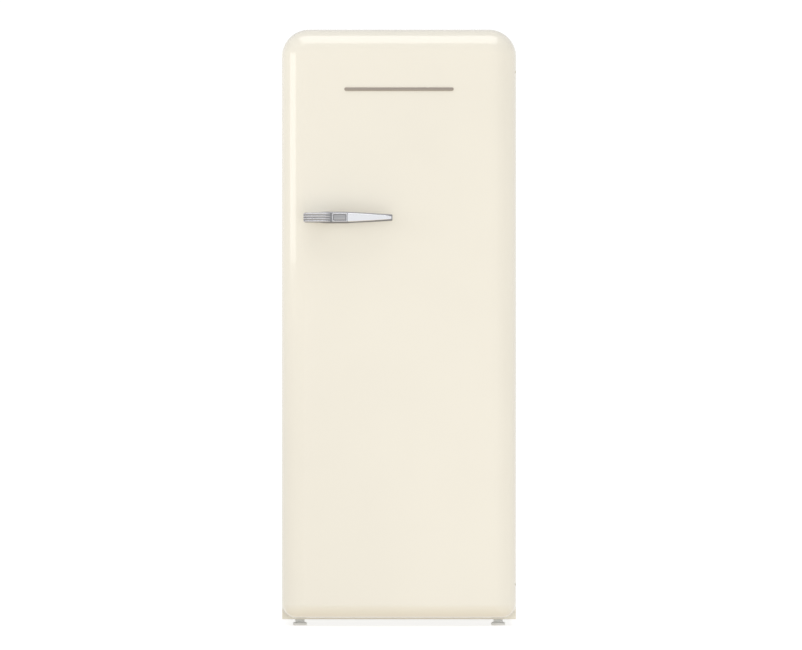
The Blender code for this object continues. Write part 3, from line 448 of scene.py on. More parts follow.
def edge_loops(thickness, steps):
    """Loops from the flat face over the rounded edge, this far inside the outer surface."""
    loops = []
    for angle in reversed(sweep(0, 90, steps)):
        sink = 1 - math.cos(angle)
        side = thickness + (DOOR_SIDE_ROUND - thickness) * sink
        low = thickness + (DOOR_LOW_ROUND - thickness) * sink
        depth = DOOR_FACE + DOOR_SIDE_ROUND - (DOOR_SIDE_ROUND - thickness) * math.sin(angle)
        loops.append(door_loop(side, low, depth))
    return loops


def crown_loops(rim):
    """Loops that close the front in a very low crown, from the rim inwards."""
    middle = Vector((0.0, DOOR_FACE, (DOOR_LOW.z + DOOR_HIGH.z) / 2))
    loops = []
    for share in (0.02, 0.1, 0.2, 0.3, 0.4, 0.5, 0.6, 0.7, 0.8, 0.88, 0.94, 0.98):
        lift = DOOR_CROWN * (1 - share**2) ** 2
        ring = []
        for point in rim:
            spot = middle.lerp(Vector(point), share)
            ring.append((spot.x, DOOR_FACE - lift, spot.z))
        loops.append(ring)
    return loops


def door_shell():
    """Pressed steel front with deep rounded edges, a crown and a return flange."""
    edge = edge_loops(0.0, 24)
    rings = crown_loops(edge[0]) + edge
    fold = 0.0018
    for angle in sweep(0, 90, 4):
        inset = fold * (1 - math.cos(angle))
        rings.append(door_loop(inset, inset, DOOR_REAR - fold * (1 - math.sin(angle))))
    flange, inner_corner = 0.014, 0.003
    rings.append(door_loop(flange, flange, DOOR_REAR))
    rings.append(door_loop(flange, flange, DOOR_REAR - SHEET))
    rings.append(door_loop(inner_corner, inner_corner, DOOR_REAR - SHEET))
    rings.extend(reversed(edge_loops(SHEET, 8)))
    shell = piece("door_shell", loft(rings), "cream", "door", ["door_skin"])
    cut(shell, merged([hinge_slot(name) for name in HINGE_PLATES]))


def hinge_slot(name):
    """The space that a hinge plate needs in the rear edge of the door."""
    width, reach, past, half_gap = 0.024, 0.008, 0.01, 0.0028
    left, right = HALF_WIDTH - width, HALF_WIDTH + past
    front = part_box(name)[0].y - reach
    level = middle_of(name).z
    return box_shape(left, right, front, DOOR_REAR + past, level - half_gap, level + half_gap)


def badge():
    """Plain ornamental bar with softened ends and edges."""
    low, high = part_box("badge_bar")
    radius = (high.z - low.z) / 2 - 0.0001
    front = low.y
    layers = (
        (0.0, high.y + DOOR_CROWN), (0.0, front + 0.0013), (0.0003, front + 0.0006),
        (0.001, front + 0.0001), (0.0022, front),
    )
    rings = [upright(low, high, inset, radius - inset, y, 8) for inset, y in layers]
    piece("badge_plate", loft(rings), "badge", "door", ["badge_bar"])


# ---- Cabinet ----


def arch(half, low, high, radius):
    """The cabinet's outline, from its lower right corner over the top to its lower left one.

    A point a little before and after each corner keeps the shading of the flat sides even.
    """
    lead = 0.01
    points = [(half, low), (half, high - radius - lead)]
    points += arc(half - radius, high - radius, radius, 0, 90)
    points += [(half - radius - lead, high), (radius + lead - half, high)]
    points += arc(radius - half, high - radius, radius, 90, 180)
    points += [(-half, high - radius - lead), (-half, low)]
    return points


def cabinet_shell():
    """Painted sheet over the sides and top, folded round at the front and hemmed at the back.

    A ring a little inside each end keeps the shading of the flat sides even.
    """
    low, high = CABINET_LOW, CABINET_HIGH
    liner_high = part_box("inner_liner")[1]
    under_lip, lip_radius = 0.003, 0.0235
    mouth = arch(liner_high.x - under_lip, low.z, liner_high.z - under_lip, lip_radius)
    fold = 0.0022
    profile = quarter_round(0.0, fold, low.y) + [
        (0.0, low.y + fold + 0.004), (0.0, high.y - 0.005), (0.0, high.y - 0.001), (0.0005, high.y),
        (SHEET, high.y), (SHEET, low.y + SHEET),
    ]
    rings = [place(mouth, "y", low.y + SHEET), place(mouth, "y", low.y)]
    rings += [place(cabinet_outline(inset), "y", y) for inset, y in profile]
    sections = [list(section) for section in zip(*rings)]
    piece("cabinet_shell", loft(sections), "cream", "cabinet", ["outer_cabinet"])


def cabinet_outline(inset):
    """The cabinet's outline, drawn in by this much."""
    return arch(HALF_WIDTH - inset, CABINET_LOW.z, CABINET_HIGH.z - inset, CORNER_RADIUS - inset)


# ---- Handle ----


def handle():
    """Chrome lever: ribbed grip, window plate and tapered blade on a darker body, whose dark colour is
    painted shade.
    """
    low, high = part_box("handle_lever")
    handle_core(low, high)
    handle_ribs(low)
    handle_window(low.y)
    handle_blade(high.x)


def lever_shape(stations):
    """A lever from (x, half height, front, rear, corner radius) stations, measured from its front."""
    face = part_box("handle_lever")[0].y
    level = middle_of("handle_lever").z
    rings = []
    for x, half, front, back, radius in stations:
        outline = rounded(face + front, face + back, level - half, level + half, radius, radius, 6)
        rings.append(place(outline, "x", x))
    return loft(rings)


def handle_core(low, high):
    """The body of the lever, whose dark colour is painted shade: it shows as a thin dark line round the
    bright plates and in the grooves of the grip.
    """
    stations = (
        (low.x, 0.0098, 0.006, 0.02, 0.003), (low.x + 0.002, 0.0118, 0.004, 0.022, 0.004),
        (low.x + 0.006, 0.0126, 0.0034, 0.0245, 0.0045), (-0.204, 0.0132, 0.003, 0.025, 0.005),
        (-0.19, 0.0146, 0.0022, 0.025, 0.005), (-0.17, 0.015, 0.0016, 0.025, 0.005),
        (-0.133, 0.0146, 0.0018, 0.022, 0.005), (-0.075, 0.0116, 0.0046, 0.0212, 0.0045),
        (high.x - 0.003, 0.0083, 0.01, 0.022, 0.003), (high.x - 0.0008, 0.0076, 0.0108, 0.0216, 0.0025),
        (high.x, 0.0066, 0.0118, 0.0206, 0.002),
    )
    # Its dark finish is painted shade round the bright plates and between the ribs.
    piece("handle_body", lever_shape(stations), "gunmetal", "door", ["handle_lever"])


def handle_ribs(low):
    """Horizontal ribs on the front of the grip; in the grooves between them the dark body shows as
    painted shade.
    """
    count, pitch, half, depth, root = 4, 0.0062, 0.0027, 0.0024, 0.0015
    front = low.y + 0.004
    level = middle_of("handle_lever").z
    stations = ((low.x, 0.4), (low.x + 0.002, 0.9), (-0.225, 1.0), (-0.176, 1.0), (-0.1715, 0.4))
    shapes = []
    for index in range(count):
        z = level + (index - (count - 1) / 2) * pitch
        rings = []
        for x, size in stations:
            bow = sweep(0, 180, 12)
            crest = [(front - depth * size * math.sin(a), half * size * math.cos(a)) for a in bow]
            crest += [(front + root, -half * size), (front + root, half * size)]
            rings.append([(x, y, z + w) for y, w in crest])
        shapes.append(loft(rings))
    piece("handle_ribs", merged(shapes), "satin", "door")


def handle_window(face):
    """Grey plate in a slim bevelled frame."""
    low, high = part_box("handle_inset")
    border = (
        (0.003, 0.003), (0.0028, 0.001), (0.0022, 0.0004), (0.0008, 0.0004), (0.0, 0.0012),
        (-0.0004, 0.0022),
    )
    plate = ((0.0, 0.0026), (0.0, 0.0018), (-0.0022, 0.0018), (-0.003, 0.0012))
    shape = window_shape(low, high, face, border, 0.002, 5, caps=(False, False))
    piece("handle_window_frame", shape, "satin", "door")
    shape = window_shape(low, high, face, plate, 0.001, 4)
    piece("handle_window_plate", shape, "inset", "door", ["handle_inset"])


def window_shape(low, high, face, layers, radius, steps, caps=(True, True)):
    """Stacked outlines round the window, from (growth, depth behind the face) layers."""
    rings = [upright(low, high, -grow, radius, face + depth, steps) for grow, depth in layers]
    return loft(rings, caps=caps)


def handle_blade(tip):
    """Bright tapered plate that runs out to the tip of the lever."""
    stations = (
        (-0.1318, 0.0098, 0.0016, 0.006, 0.001), (-0.1305, 0.0108, 0.0004, 0.006, 0.0018),
        (-0.127, 0.0112, 0.0, 0.006, 0.0022), (-0.11, 0.0104, 0.0004, 0.0066, 0.0022),
        (-0.075, 0.0084, 0.0024, 0.008, 0.002), (-0.04, 0.0062, 0.006, 0.011, 0.0018),
        (tip - 0.004, 0.0044, 0.0092, 0.013, 0.0014), (tip - 0.0026, 0.0036, 0.01, 0.013, 0.0012),
    )
    piece("handle_blade", lever_shape(stations), "blade", "door")


# ---- Door furniture ----


# Distance from the outer edge of the seal, and height over the door panel.
SEAL_SECTION = (
    (0.0, 0.0), (0.0, 0.0018), (0.0016, 0.0032), (0.0004, 0.005), (0.0014, 0.007), (0.0026, 0.0082),
    (0.0042, 0.0089), (0.006, 0.009), (0.0075, 0.0084), (0.009, 0.009), (0.013, 0.009), (0.015, 0.0084),
    (0.0166, 0.007), (0.0176, 0.005), (0.0164, 0.0032), (0.018, 0.0018), (0.018, 0.0),
)


def door_seal():
    """Folded magnetic seal round the back of the door."""
    low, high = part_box("door_gasket")
    outer = HALF_WIDTH - high.x
    rings = [door_loop(outer + inset, outer + inset, low.y + y) for inset, y in SEAL_SECTION]
    piece("door_seal", loft(rings, looped=True), "rubber", "door", ["door_gasket"])


def inset_ring(low, high, inset, radius, z):
    """A level outline inside the box of a container."""
    edge = max(radius - inset, 0.0012)
    outline = rounded(low.x + inset, high.x - inset, low.y + inset, high.y - inset, edge, edge, 10)
    return place(outline, "z", z)


def tray_shape(low, high, draft, wall, radius, foot, lip):
    """An open container: rounded foot, leaning walls and a rolled rim."""
    rim = high.z - 0.004
    layers = quarter_round(lip + draft, foot, low.z) + [
        (lip, rim), (0.0, rim + 0.0008), (0.0, high.z - 0.0008), (0.0006, high.z),
        (lip + wall - 0.0006, high.z), (lip + wall, high.z - 0.001),
    ]
    inner_foot = max(foot - wall, 0.001)
    layers += reversed(quarter_round(lip + draft + wall, inner_foot, low.z + wall))
    return loft([inset_ring(low, high, inset, radius, z) for inset, z in layers])


BINS = {"dairy_shelf": "dairy_tub", "door_shelf": "jar_tub", "bottle_shelf": "bottle_tub"}


def door_bins():
    """Clear containers between the ridges of the door."""
    for node, name in BINS.items():
        shape = tray_shape(*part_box(node), draft=0.003, wall=0.002, radius=0.018, foot=0.007, lip=0.0012)
        piece(name, shape, "clear", "door", [node])


# Radius and distance from the door panel of the cups that hold the rail wires.
SOCKET_PROFILE = ((0.0062, 0.0006), (0.0062, 0.004), (0.005, 0.0055), (0.0032, 0.006))


def bin_rails():
    """Bright wires that keep tall bottles in place, with their white sockets."""
    bend, sunk = 0.02, 0.0005
    for node in ("door_shelf_rail", "bottle_shelf_rail"):
        low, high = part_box(node)
        radius = (high.z - low.z) / 2
        level = middle_of(node).z
        half, rear = high.x - radius, high.y - radius
        points = [(-half, low.y + sunk, level)]
        for centre, start in ((-half + bend, 180), (half - bend, 90)):
            points += place(arc(centre, rear - bend, bend, start, start - 90, 12), "z", level)
        points.append((half, low.y + sunk, level))
        wire(f"{node}_wire", points, radius, "chrome", "door", [node])
        profile = [(reach, low.y + depth) for reach, depth in SOCKET_PROFILE]
        sockets = [turned(profile, "y", (x, 0, level), 32) for x in (-half, half)]
        piece(f"{node}_sockets", merged(sockets), "ivory", "door")


# ---- Cold compartment ----


def wire_rack():
    """Chromed rack: a closed frame and the wires on which bottles lie."""
    low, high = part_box("bottle_rack")
    radius = 0.003
    level = low.z + radius
    outline = rounded(low.x + radius, high.x - radius, low.y + radius, high.y - radius, 0.012, 0.012, 8)
    border = place(outline, "z", level)
    wire("rack_frame", border, radius, "chrome", "cabinet", ["bottle_rack"], cyclic=True)
    pitch, columns, end = 0.036, 6, 0.0015
    above, below, side_end = level + 0.0022, level - 0.0012, 0.002
    wires = []
    for column in range(-columns, columns + 1):
        x = pitch * column
        wires.append(rod((x, low.y + end, above), (x, high.y - end, above), 0.0018))
    for y in (low.y + 0.13, low.y + 0.27):
        wires.append(rod((low.x + side_end, y, below), (high.x - side_end, y, below), 0.0016))
    piece("rack_wires", merged(wires), "chrome", "cabinet")


def freezer_flap():
    """Insulated flap with a sunken middle and a finger slot."""
    low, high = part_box("freezer_flap")
    profile = (
        (0.0045, high.y), (0.0012, high.y - 0.0008), (0.0, high.y - 0.003), (0.0, low.y + 0.0045),
        (0.0012, low.y + 0.0016), (0.0045, low.y), (0.04, low.y), (0.0415, low.y + 0.0006),
        (0.043, low.y + 0.0016), (0.045, low.y + 0.0018),
    )
    rings = []
    for inset, y in profile:
        rings.append(upright(low, high, inset, max(0.014 - inset * 0.25, 0.003), y, 10))
    flap = piece("flap_shell", loft(rings), "white", "freezer_flap", ["freezer_flap"])
    slot_half, slot_low, slot_high, slot_depth = 0.06, high.z - 0.029, high.z - 0.017, 0.009
    outline = rounded(-slot_half, slot_half, slot_low, slot_high, 0.005, 0.005, 8)
    cut(flap, loft([place(outline, "y", low.y - 0.01), place(outline, "y", low.y + slot_depth)]))


def vegetable_drawer():
    """Clear drawer with a rolled rim."""
    node = "crisper_drawer"
    shape = tray_shape(*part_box(node), draft=0.008, wall=0.0025, radius=0.014, foot=0.01, lip=0.0016)
    piece("drawer_tub", shape, "clear", node, [node])


def evaporator_channels():
    """Raised refrigerant channel that winds over the back wall of the freezer box."""
    low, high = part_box("freezer_box")
    wall, radius, rows, rise = 0.024, 0.0028, 5, 0.032
    y = high.y - wall + 0.0004
    half = high.x - wall - 0.03
    base, bulge = low.z + 0.045, rise / 2
    points = []
    for row in range(rows):
        level = base + rise * row
        side = 1 if row % 2 == 0 else -1
        points.append((-side * half, y, level))
        points.append((side * half, y, level))
        if row < rows - 1:
            bend = arc(half, level + bulge, bulge, -90, 90, 8)[1:-1]
            points += [(side * x, y, z) for x, z in bend]
    wire("evaporator_channel", points, radius, "lining", "cabinet")


# Share of the knob's radius, distance in front of the housing, and depth of the fluting.
KNOB_PROFILE = (
    (0.2, 0.018, 0), (0.78, 0.018, 0), (0.86, 0.0176, 0.2), (0.92, 0.0164, 1), (1.0, 0.001, 1),
    (0.28, 0.001, 0), (0.26, -0.012, 0),
)


def fluted_ring(radius, ripple, flutes, steps):
    """A circle whose edge dips this share of its radius between flutes."""
    ring = []
    for angle in sweep(0, 360, steps)[:-1]:
        reach = radius * (1 - ripple * (0.5 + 0.5 * math.cos(flutes * angle)))
        ring.append((reach * math.cos(angle), reach * math.sin(angle)))
    return ring


def thermostat():
    """Fluted knob with a pointer, and a ring of plain ticks on the housing."""
    node = "thermostat_knob"
    low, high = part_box(node)
    y, z = middle_of(node).yz
    radius = (high.z - low.z) / 2
    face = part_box("control_housing")[0].x
    rings = []
    for share, depth, ripple in KNOB_PROFILE:
        ring = fluted_ring(radius * share, 0.035 * ripple, 20, 160)
        rings.append([(face - depth, y + u, z + v) for u, v in ring])
    piece("knob_cap", loft(rings), "white", node, [node])
    half, inner_end, outer_end = 0.001, 0.002, 0.0128
    shape = box_shape(face - 0.0183, face - 0.0176, y - half, y + half, z + inner_end, z + outer_end)
    piece("knob_pointer", shape, "mark", node, bevel=0.0002)
    dial_ticks(Vector((face - 0.0001, y, z)), radius)


def dial_ticks(centre, radius):
    """Plain marks over three quarters of a turn round the knob."""
    inner, outer = radius + 0.003, radius + 0.006
    ticks = []
    for angle in sweep(90, -180, 7):
        outwards = Vector((0.0, math.cos(angle), math.sin(angle)))
        ticks.append(rod(centre + inner * outwards, centre + outer * outwards, 0.0007, 8))
    piece("dial_ticks", merged(ticks), "mark", "cabinet")


# Radius of the bulb, and distance from the rear end of its cap.
BULB_PROFILE = (
    (0.007, 0.018), (0.0074, 0.022), (0.009, 0.027), (0.0112, 0.033), (0.0126, 0.039), (0.0128, 0.044),
    (0.0112, 0.05), (0.0075, 0.054), (0.003, 0.0548),
)


def lamp():
    """Small pear-shaped bulb with its threaded metal cap."""
    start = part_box("lamp_bulb")[0].y
    centre = middle_of("lamp_bulb")
    bulb = turned([(radius, start + offset) for radius, offset in BULB_PROFILE], "y", centre, 40)
    piece("bulb_glass", bulb, "frosted", "cabinet", ["lamp_bulb"])
    root, crest, step = 0.007, 0.0076, 0.0026
    cap = [(0.004, start)]
    for turn in range(7):
        cap.append((crest if turn % 2 else root, start + 0.001 + step * turn))
    cap.append((0.0068, start + 0.0185))
    piece("bulb_cap", turned(cap, "y", centre, 32), "zinc", "cabinet")


def drain_gutter():
    """Moulded gutter low on the back wall, which leads melt water to the drain."""
    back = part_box("inner_liner")[1].y - 0.0015
    level, half, half_height, wall, reach = 0.345, 0.17, 0.012, 0.0035, 0.012
    outer = rounded(-half, half, level - half_height, level + half_height, 0.011, 0.011, 10)
    half, half_height = half - wall, half_height - wall
    inner = rounded(-half, half, level - half_height, level + half_height, 0.008, 0.008, 10)
    rings = [
        place(outer, "y", back),
        place(outer, "y", back - reach + 0.002),
        place(inner, "y", back - reach),
        place(inner, "y", back - 0.001),
    ]
    piece("drain_gutter", loft(rings), "white", "cabinet")


# ---- Rear and machine bay ----


# Share of the pot's half width, and height over the floor.
POT_PROFILE = (
    (0.3, 0.042), (0.62, 0.043), (0.86, 0.049), (0.97, 0.06), (1.0, 0.074), (1.0, 0.12), (1.02, 0.1225),
    (1.065, 0.1235), (1.07, 0.127), (1.065, 0.1305), (1.02, 0.1315), (1.0, 0.134), (0.985, 0.148),
    (0.95, 0.162), (0.88, 0.175), (0.76, 0.187), (0.58, 0.196), (0.34, 0.201), (0.1, 0.202),
)

# Radius and height over the floor of the rubber mounts under the compressor's bolts.
GROMMET_PROFILE = (
    (0.0095, 0.0436), (0.0095, 0.0465), (0.008, 0.048), (0.005, 0.048), (0.005, 0.052),
    (0.0042, 0.0528),
)


def hermetic_compressor():
    """Pressed steel pot with a welded seam, on a plate with four rubber mounts."""
    low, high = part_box("compressor")
    x, y, _ = middle_of("compressor")
    half_x, half_y = 0.082, 0.066
    rings = []
    for share, z in POT_PROFILE:
        rings.append([(x + half_x * u, y + half_y * v, z) for u, v in circle(0, 0, share, 72)])
    piece("compressor_pot", loft(rings), "black_steel", "cabinet", ["compressor"])
    plate_low, plate_high = 0.0395, 0.0435
    plate = rounded(low.x, high.x, low.y, high.y, 0.012, 0.012, 8)
    shape = loft([place(plate, "z", plate_low), place(plate, "z", plate_high)])
    piece("compressor_plate", shape, "black_steel", "cabinet", bevel=0.0008)
    grommets = []
    for dx in (-0.074, 0.074):
        for dy in (-0.055, 0.055):
            grommets.append(turned(GROMMET_PROFILE, "z", (x + dx, y + dy, 0), 32))
    piece("compressor_grommets", merged(grommets), "black_plastic", "cabinet")


def condenser():
    """Serpentine tube with a grid of thin wires welded to both of its faces."""
    radius = 0.0025
    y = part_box("condenser_coil")[1].y - radius
    wire("condenser_tube", serpentine(y), radius, "black_steel", "cabinet", ["condenser_coil"])
    half_count, pitch, grid_low, grid_high, offset = 12, 0.0152, 0.32, 1.26, 0.0034
    wires = []
    for column in range(-half_count, half_count + 1):
        outer_x = pitch * column
        last = column == half_count
        inner_x = outer_x if last else outer_x + pitch / 2
        for x, face in ((outer_x, y + offset), (inner_x, y - offset)):
            wires.append(rod((x, face, grid_low), (x, face, grid_high), 0.0009, 8))
    piece("condenser_grid", merged(wires), "black_steel", "cabinet", ["condenser_wires"])
    condenser_brackets(y)


def serpentine(y):
    """The condenser's tube: from its top through every bend, and down into the machine bay."""
    half, base, rise, passes = 0.2, 0.34, 0.09, 11
    bulge = rise / 2
    points = [(-half, y, base + rise * (passes - 1))]
    for index in range(passes - 1, 0, -1):
        level = base + rise * (index - 0.5)
        side = 1 if (passes - 1 - index) % 2 == 0 else -1
        points += [(side * x, y, z) for x, z in arc(half - bulge, level, bulge, 90, -90, 12)]
    down = half + 0.022
    descent = (
        (half - 0.02, y, base), (half + 0.014, y, base - 0.015), (down, y, base - 0.045),
        (down, y, 0.17), (down, y - 0.012, 0.14), (half + 0.02, y - 0.04, 0.122),
        (half + 0.01, 0.3, 0.12),
    )
    return points + smooth_run(descent, 8)


def condenser_brackets(y):
    """Four small plates on the back panel, each with a tab out to the condenser."""
    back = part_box("back_panel")[1].y
    brackets = []
    for x in (-0.15, 0.15):
        for z in (0.385, 1.195):
            plate = (x - 0.009, x + 0.009, back + 0.0001, back + 0.0012, z - 0.02, z + 0.02)
            tab = (x - 0.006, x + 0.006, back + 0.0008, y + 0.003, z - 0.0012, z + 0.0012)
            brackets += [box_shape(*plate), box_shape(*tab)]
    piece("condenser_brackets", merged(brackets), "zinc", "cabinet", bevel=0.0002)


def smooth_run(points, steps):
    """Points on a smooth curve through these points."""
    run = []
    ends = [Vector(point) for point in (points[0], *points, points[-1])]
    for a, b, c, d in zip(ends, ends[1:], ends[2:], ends[3:]):
        for step in range(steps):
            t = step / steps
            curve = (2 * a - 5 * b + 4 * c - d) * t**2 + (3 * b - a - 3 * c + d) * t**3
            run.append(0.5 * (2 * b + (c - a) * t + curve))
    run.append(ends[-1])
    return run


# Radius of the drier and its necks, and place along X.
DRIER_PROFILE = (
    (0.0028, 0.13), (0.003, 0.134), (0.006, 0.137), (0.0088, 0.141), (0.009, 0.145), (0.0086, 0.15),
    (0.009, 0.155), (0.009, 0.184), (0.0086, 0.188), (0.009, 0.193), (0.0084, 0.198), (0.005, 0.202),
    (0.003, 0.2045), (0.0028, 0.207),
)


def pipework():
    """Return tube from the cold compartment, and the drier with its necks."""
    low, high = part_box("suction_line")
    start, end = Vector((-0.22, 0.3, high.z)), Vector((high.x, 0.268, low.z + 0.004))
    steps = 40
    points = []
    for step in range(steps + 1):
        t = step / steps
        ease = t * t * (3 - 2 * t)
        z = start.z + (end.z - start.z) * (1 - (1 - t) ** 2)
        points.append((start.x + (end.x - start.x) * t**2, start.y + (end.y - start.y) * ease, z))
    wire("return_tube", points, 0.004, "copper", "cabinet", ["suction_line"])
    drier = turned(DRIER_PROFILE, "x", middle_of("filter_drier"), 40)
    piece("drier_body", drier, "copper", "cabinet", ["filter_drier"])


def pressure_tube():
    """Tube from the compressor up to the top of the condenser."""
    radius, x, top = 0.0025, -0.214, 1.24
    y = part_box("condenser_coil")[1].y - radius
    rise = (
        (-0.118, 0.312, 0.15), (-0.134, 0.326, 0.152), (-0.17, 0.345, 0.165), (-0.202, 0.359, 0.195),
        (x, y, 0.24), (x, y, 0.32), (x, y, 0.64), (x, y, 1.0), (x, y, top - 0.05),
        (x + 0.003, y, top - 0.014), (-0.2005, y, top),
    )
    wire("pressure_tube", smooth_run(rise, 8), radius, "black_steel", "cabinet")


def capillary_tube():
    """Thin copper line from the drier: three turns, then up to the cold compartment."""
    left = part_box("filter_drier")[0].x
    _, y, z = middle_of("filter_drier")
    radius, turns, steps, drift = 0.016, 3, 24, 0.0001
    points = [(left + 0.001, y, z), (left - 0.012, y, z)]
    centre_x, centre_z = left - 0.03, z + radius
    coil = arc(centre_x, centre_z, radius, -90, -90 - 360 * turns, steps * turns)
    points += [(u, y - drift * step, v) for step, (u, v) in enumerate(coil)]
    tail = (
        points[-1],
        (centre_x - 0.01, y - 0.012, z + 0.004),
        (centre_x - 0.03, 0.27, 0.15),
        (centre_x - 0.036, 0.235, 0.2),
        (centre_x - 0.036, 0.215, 0.2425),
    )
    points.extend(smooth_run(tail, 10)[1:])
    wire("capillary_tube", points, 0.001, "copper", "cabinet")


# Share of a screw head's radius, and height over the plate.
SCREW_PROFILE = (
    (1.0, 0.0), (1.0, 0.0007), (0.92, 0.0012), (0.7, 0.0016), (0.45, 0.0018), (0.3, 0.001),
    (0.1, 0.0008),
)


def screw(x, y, z, direction, radius=0.0036):
    """Pan-head screw with a sunken middle, facing the rear (1) or the front (-1)."""
    profile = [(radius * share, y + direction * height) for share, height in SCREW_PROFILE]
    return turned(profile, "y", (x, 0, z), 24)


def hinge_screws():
    """Two screws through each hinge plate."""
    shapes = []
    for node in HINGE_PLATES:
        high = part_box(node)[1]
        level = middle_of(node).z
        for z in (level - 0.014, level + 0.014):
            shapes.append(screw(high.x - 0.0095, high.y - 0.0031, z, -1, 0.0034))
    piece("hinge_screws", merged(shapes), "zinc", "cabinet")


def rear_screws():
    """Screws round the back panel."""
    low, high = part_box("back_panel")
    face, side_inset = high.y + 0.0001, 0.014
    sides, levels = (low.x + side_inset, high.x - side_inset), (0.262, 0.52, 0.78, 1.04, 1.3, 1.44)
    spots = [(x, z) for z in levels for x in sides]
    spots += [(x, z) for x in (-0.2, -0.07, 0.07, 0.2) for z in (high.z - 0.016, low.z + 0.01)]
    shapes = [screw(x, face, z, 1) for x, z in spots]
    piece("rear_screws", merged(shapes), "zinc", "cabinet")


# Radius, height over the floor and knurling of a foot.
FOOT_PROFILE = (
    (0.016, 0.0, 0), (0.0174, 0.0004, 0), (0.018, 0.0016, 1), (0.018, 0.0064, 1), (0.0172, 0.0074, 0),
    (0.0128, 0.0088, 0), (0.012, 0.0096, 0), (0.012, 0.0148, 0), (0.0114, 0.0155, 0),
)


def feet():
    """Knurled levelling feet on threaded stems."""
    for name in ("foot_left", "foot_right"):
        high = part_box(name)[1]
        x, y, _ = middle_of(name)
        rings = []
        for radius, z, knurl in FOOT_PROFILE:
            ring = fluted_ring(radius, 0.02 * knurl, 36, 144)
            rings.append([(x + u, y + v, z) for u, v in ring])
        piece(f"{name}_pad", loft(rings), "grey_plastic", name, [name])
        start, pitch, root, crest = 0.0154, 0.0015, 0.0038, 0.0045
        thread = []
        for step in range(25):
            z = start + pitch * step
            thread += [(root, z), (crest, z + pitch / 2)]
        thread.append((0.0036, high.z))
        piece(f"{name}_stem", turned(thread, "z", (x, y, 0), 32), "zinc", name)


# Radius of a wheel from its axle to its tread, and distance from its middle.
WHEEL_PROFILE = (
    (0.003, 0.0128), (0.003, 0.0094), (0.0055, 0.0092), (0.006, 0.0078), (0.0115, 0.0078),
    (0.0125, 0.009), (0.0146, 0.0088), (0.016, 0.0078), (0.0165, 0.006),
)


def rollers():
    """Rear wheels with a rounded tread and a hub."""
    for name in ("roller_left", "roller_right"):
        centre = middle_of(name)
        profile = [(radius, centre.x - offset) for radius, offset in WHEEL_PROFILE]
        profile += [(radius, centre.x + offset) for radius, offset in reversed(WHEEL_PROFILE)]
        wheel = turned(profile, "x", centre, 56)
        piece(f"{name}_wheel", wheel, "black_plastic", name, [name])


def inlet_pins():
    """Three plain contact pins inside the mains inlet."""
    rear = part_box("mains_inlet")[1].y - 0.006
    x, _, z = middle_of("mains_inlet")
    half_width, half_height, front = 0.001, 0.002, 0.3295
    shapes = []
    for dx, dz in ((-0.0075, -0.002), (0.0075, -0.002), (0.0, 0.003)):
        left, low = x + dx - half_width, z + dz - half_height
        outline = rounded(left, left + 2 * half_width, low, low + 2 * half_height, 0.0008, 0.0008, 4)
        shapes.append(loft([place(outline, "y", front), place(outline, "y", rear)]))
    piece("inlet_pins", merged(shapes), "zinc", "cabinet")


# ---- CAD nodes that keep their shape ----

# Each finish, with the nodes that take it and the width of their softened edges.
KEPT = {
    "cream": (("front_lower_rail", 0.0003),),
    "foam": (("cabinet_insulation", 0), ("door_insulation", 0)),
    "white": (
        ("inner_liner", 0.0012), ("door_liner", 0.0025), ("control_housing", 0.0012),
        ("switch_plunger", 0.0004), ("drain_tube", 0), ("top_hinge_bush", 0.0003),
        ("bottom_hinge_bush", 0.0003),
    ),
    "ivory": (("shelf_trim_upper", 0.0009), ("shelf_trim_lower", 0.0009)),
    "zinc": (
        ("base_plate", 0.0003), ("back_panel", 0.0003), ("machine_bay_panel", 0.0003),
        ("compressor_rail", 0.0005), ("roller_bracket_left", 0.0004), ("roller_bracket_right", 0.0004),
        ("top_hinge_bracket", 0.0004), ("bottom_hinge_bracket", 0.0004), ("top_hinge_pin", 0.0003),
        ("bottom_hinge_pin", 0.0003),
    ),
    "black_plastic": (
        ("start_relay_cover", 0.002), ("evaporation_tray", 0.0006), ("wall_spacer_left", 0.001),
        ("wall_spacer_right", 0.001), ("mains_inlet", 0.0006),
    ),
    "chrome": (("handle_mount", 0.0012),),
    "lining": (("freezer_box", 0.002),),
    "clear": (("dairy_lid", 0.0007), ("lamp_cover", 0.0006)),
    "glass": (
        ("glass_shelf_upper", 0.0008), ("glass_shelf_lower", 0.0008), ("crisper_cover", 0.0008),
    ),
}


def keep_nodes():
    """Gives each CAD node that stays its finish, merged facets and soft edges."""
    for finish, rows in KEPT.items():
        for name, bevel in rows:
            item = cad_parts[name]
            item.data.materials.clear()
            item.data.materials.append(FINISHES[finish])
            item.data.polygons.foreach_set("use_smooth", [True] * len(item.data.polygons))
            item.data.update()
            weld = item.modifiers.new("Weld", "WELD")
            weld.merge_threshold = 0.00001
            flat = item.modifiers.new("Flat faces", "DECIMATE")
            flat.decimate_type = "DISSOLVE"
            flat.angle_limit = math.radians(3)
            if bevel:
                soft_edges(item, bevel)


# ---- Stage ----


def stage():
    """A plain white floor that runs far out on every side."""
    floor_radius, floor_steps = 60.0, 96
    shape = bmesh.new()
    bmesh.ops.create_circle(shape, cap_ends=True, radius=floor_radius, segments=floor_steps)
    mesh = to_mesh("floor", shape)
    paper = grained("paper", (0.62, 0.62, 0.62), 0.85, 0.0, 60.0, 0.0002, 0.01)
    glow = paper.node_tree.nodes["Principled BSDF"]
    glow.inputs["Emission Color"].default_value = (1.0, 1.0, 1.0, 1.0)
    glow.inputs["Emission Strength"].default_value = 0.65
    mesh.materials.append(paper)
    floor = bpy.data.objects.new("floor", mesh)
    add(floor)
    floor.visible_diffuse = False
    floor.visible_glossy = False


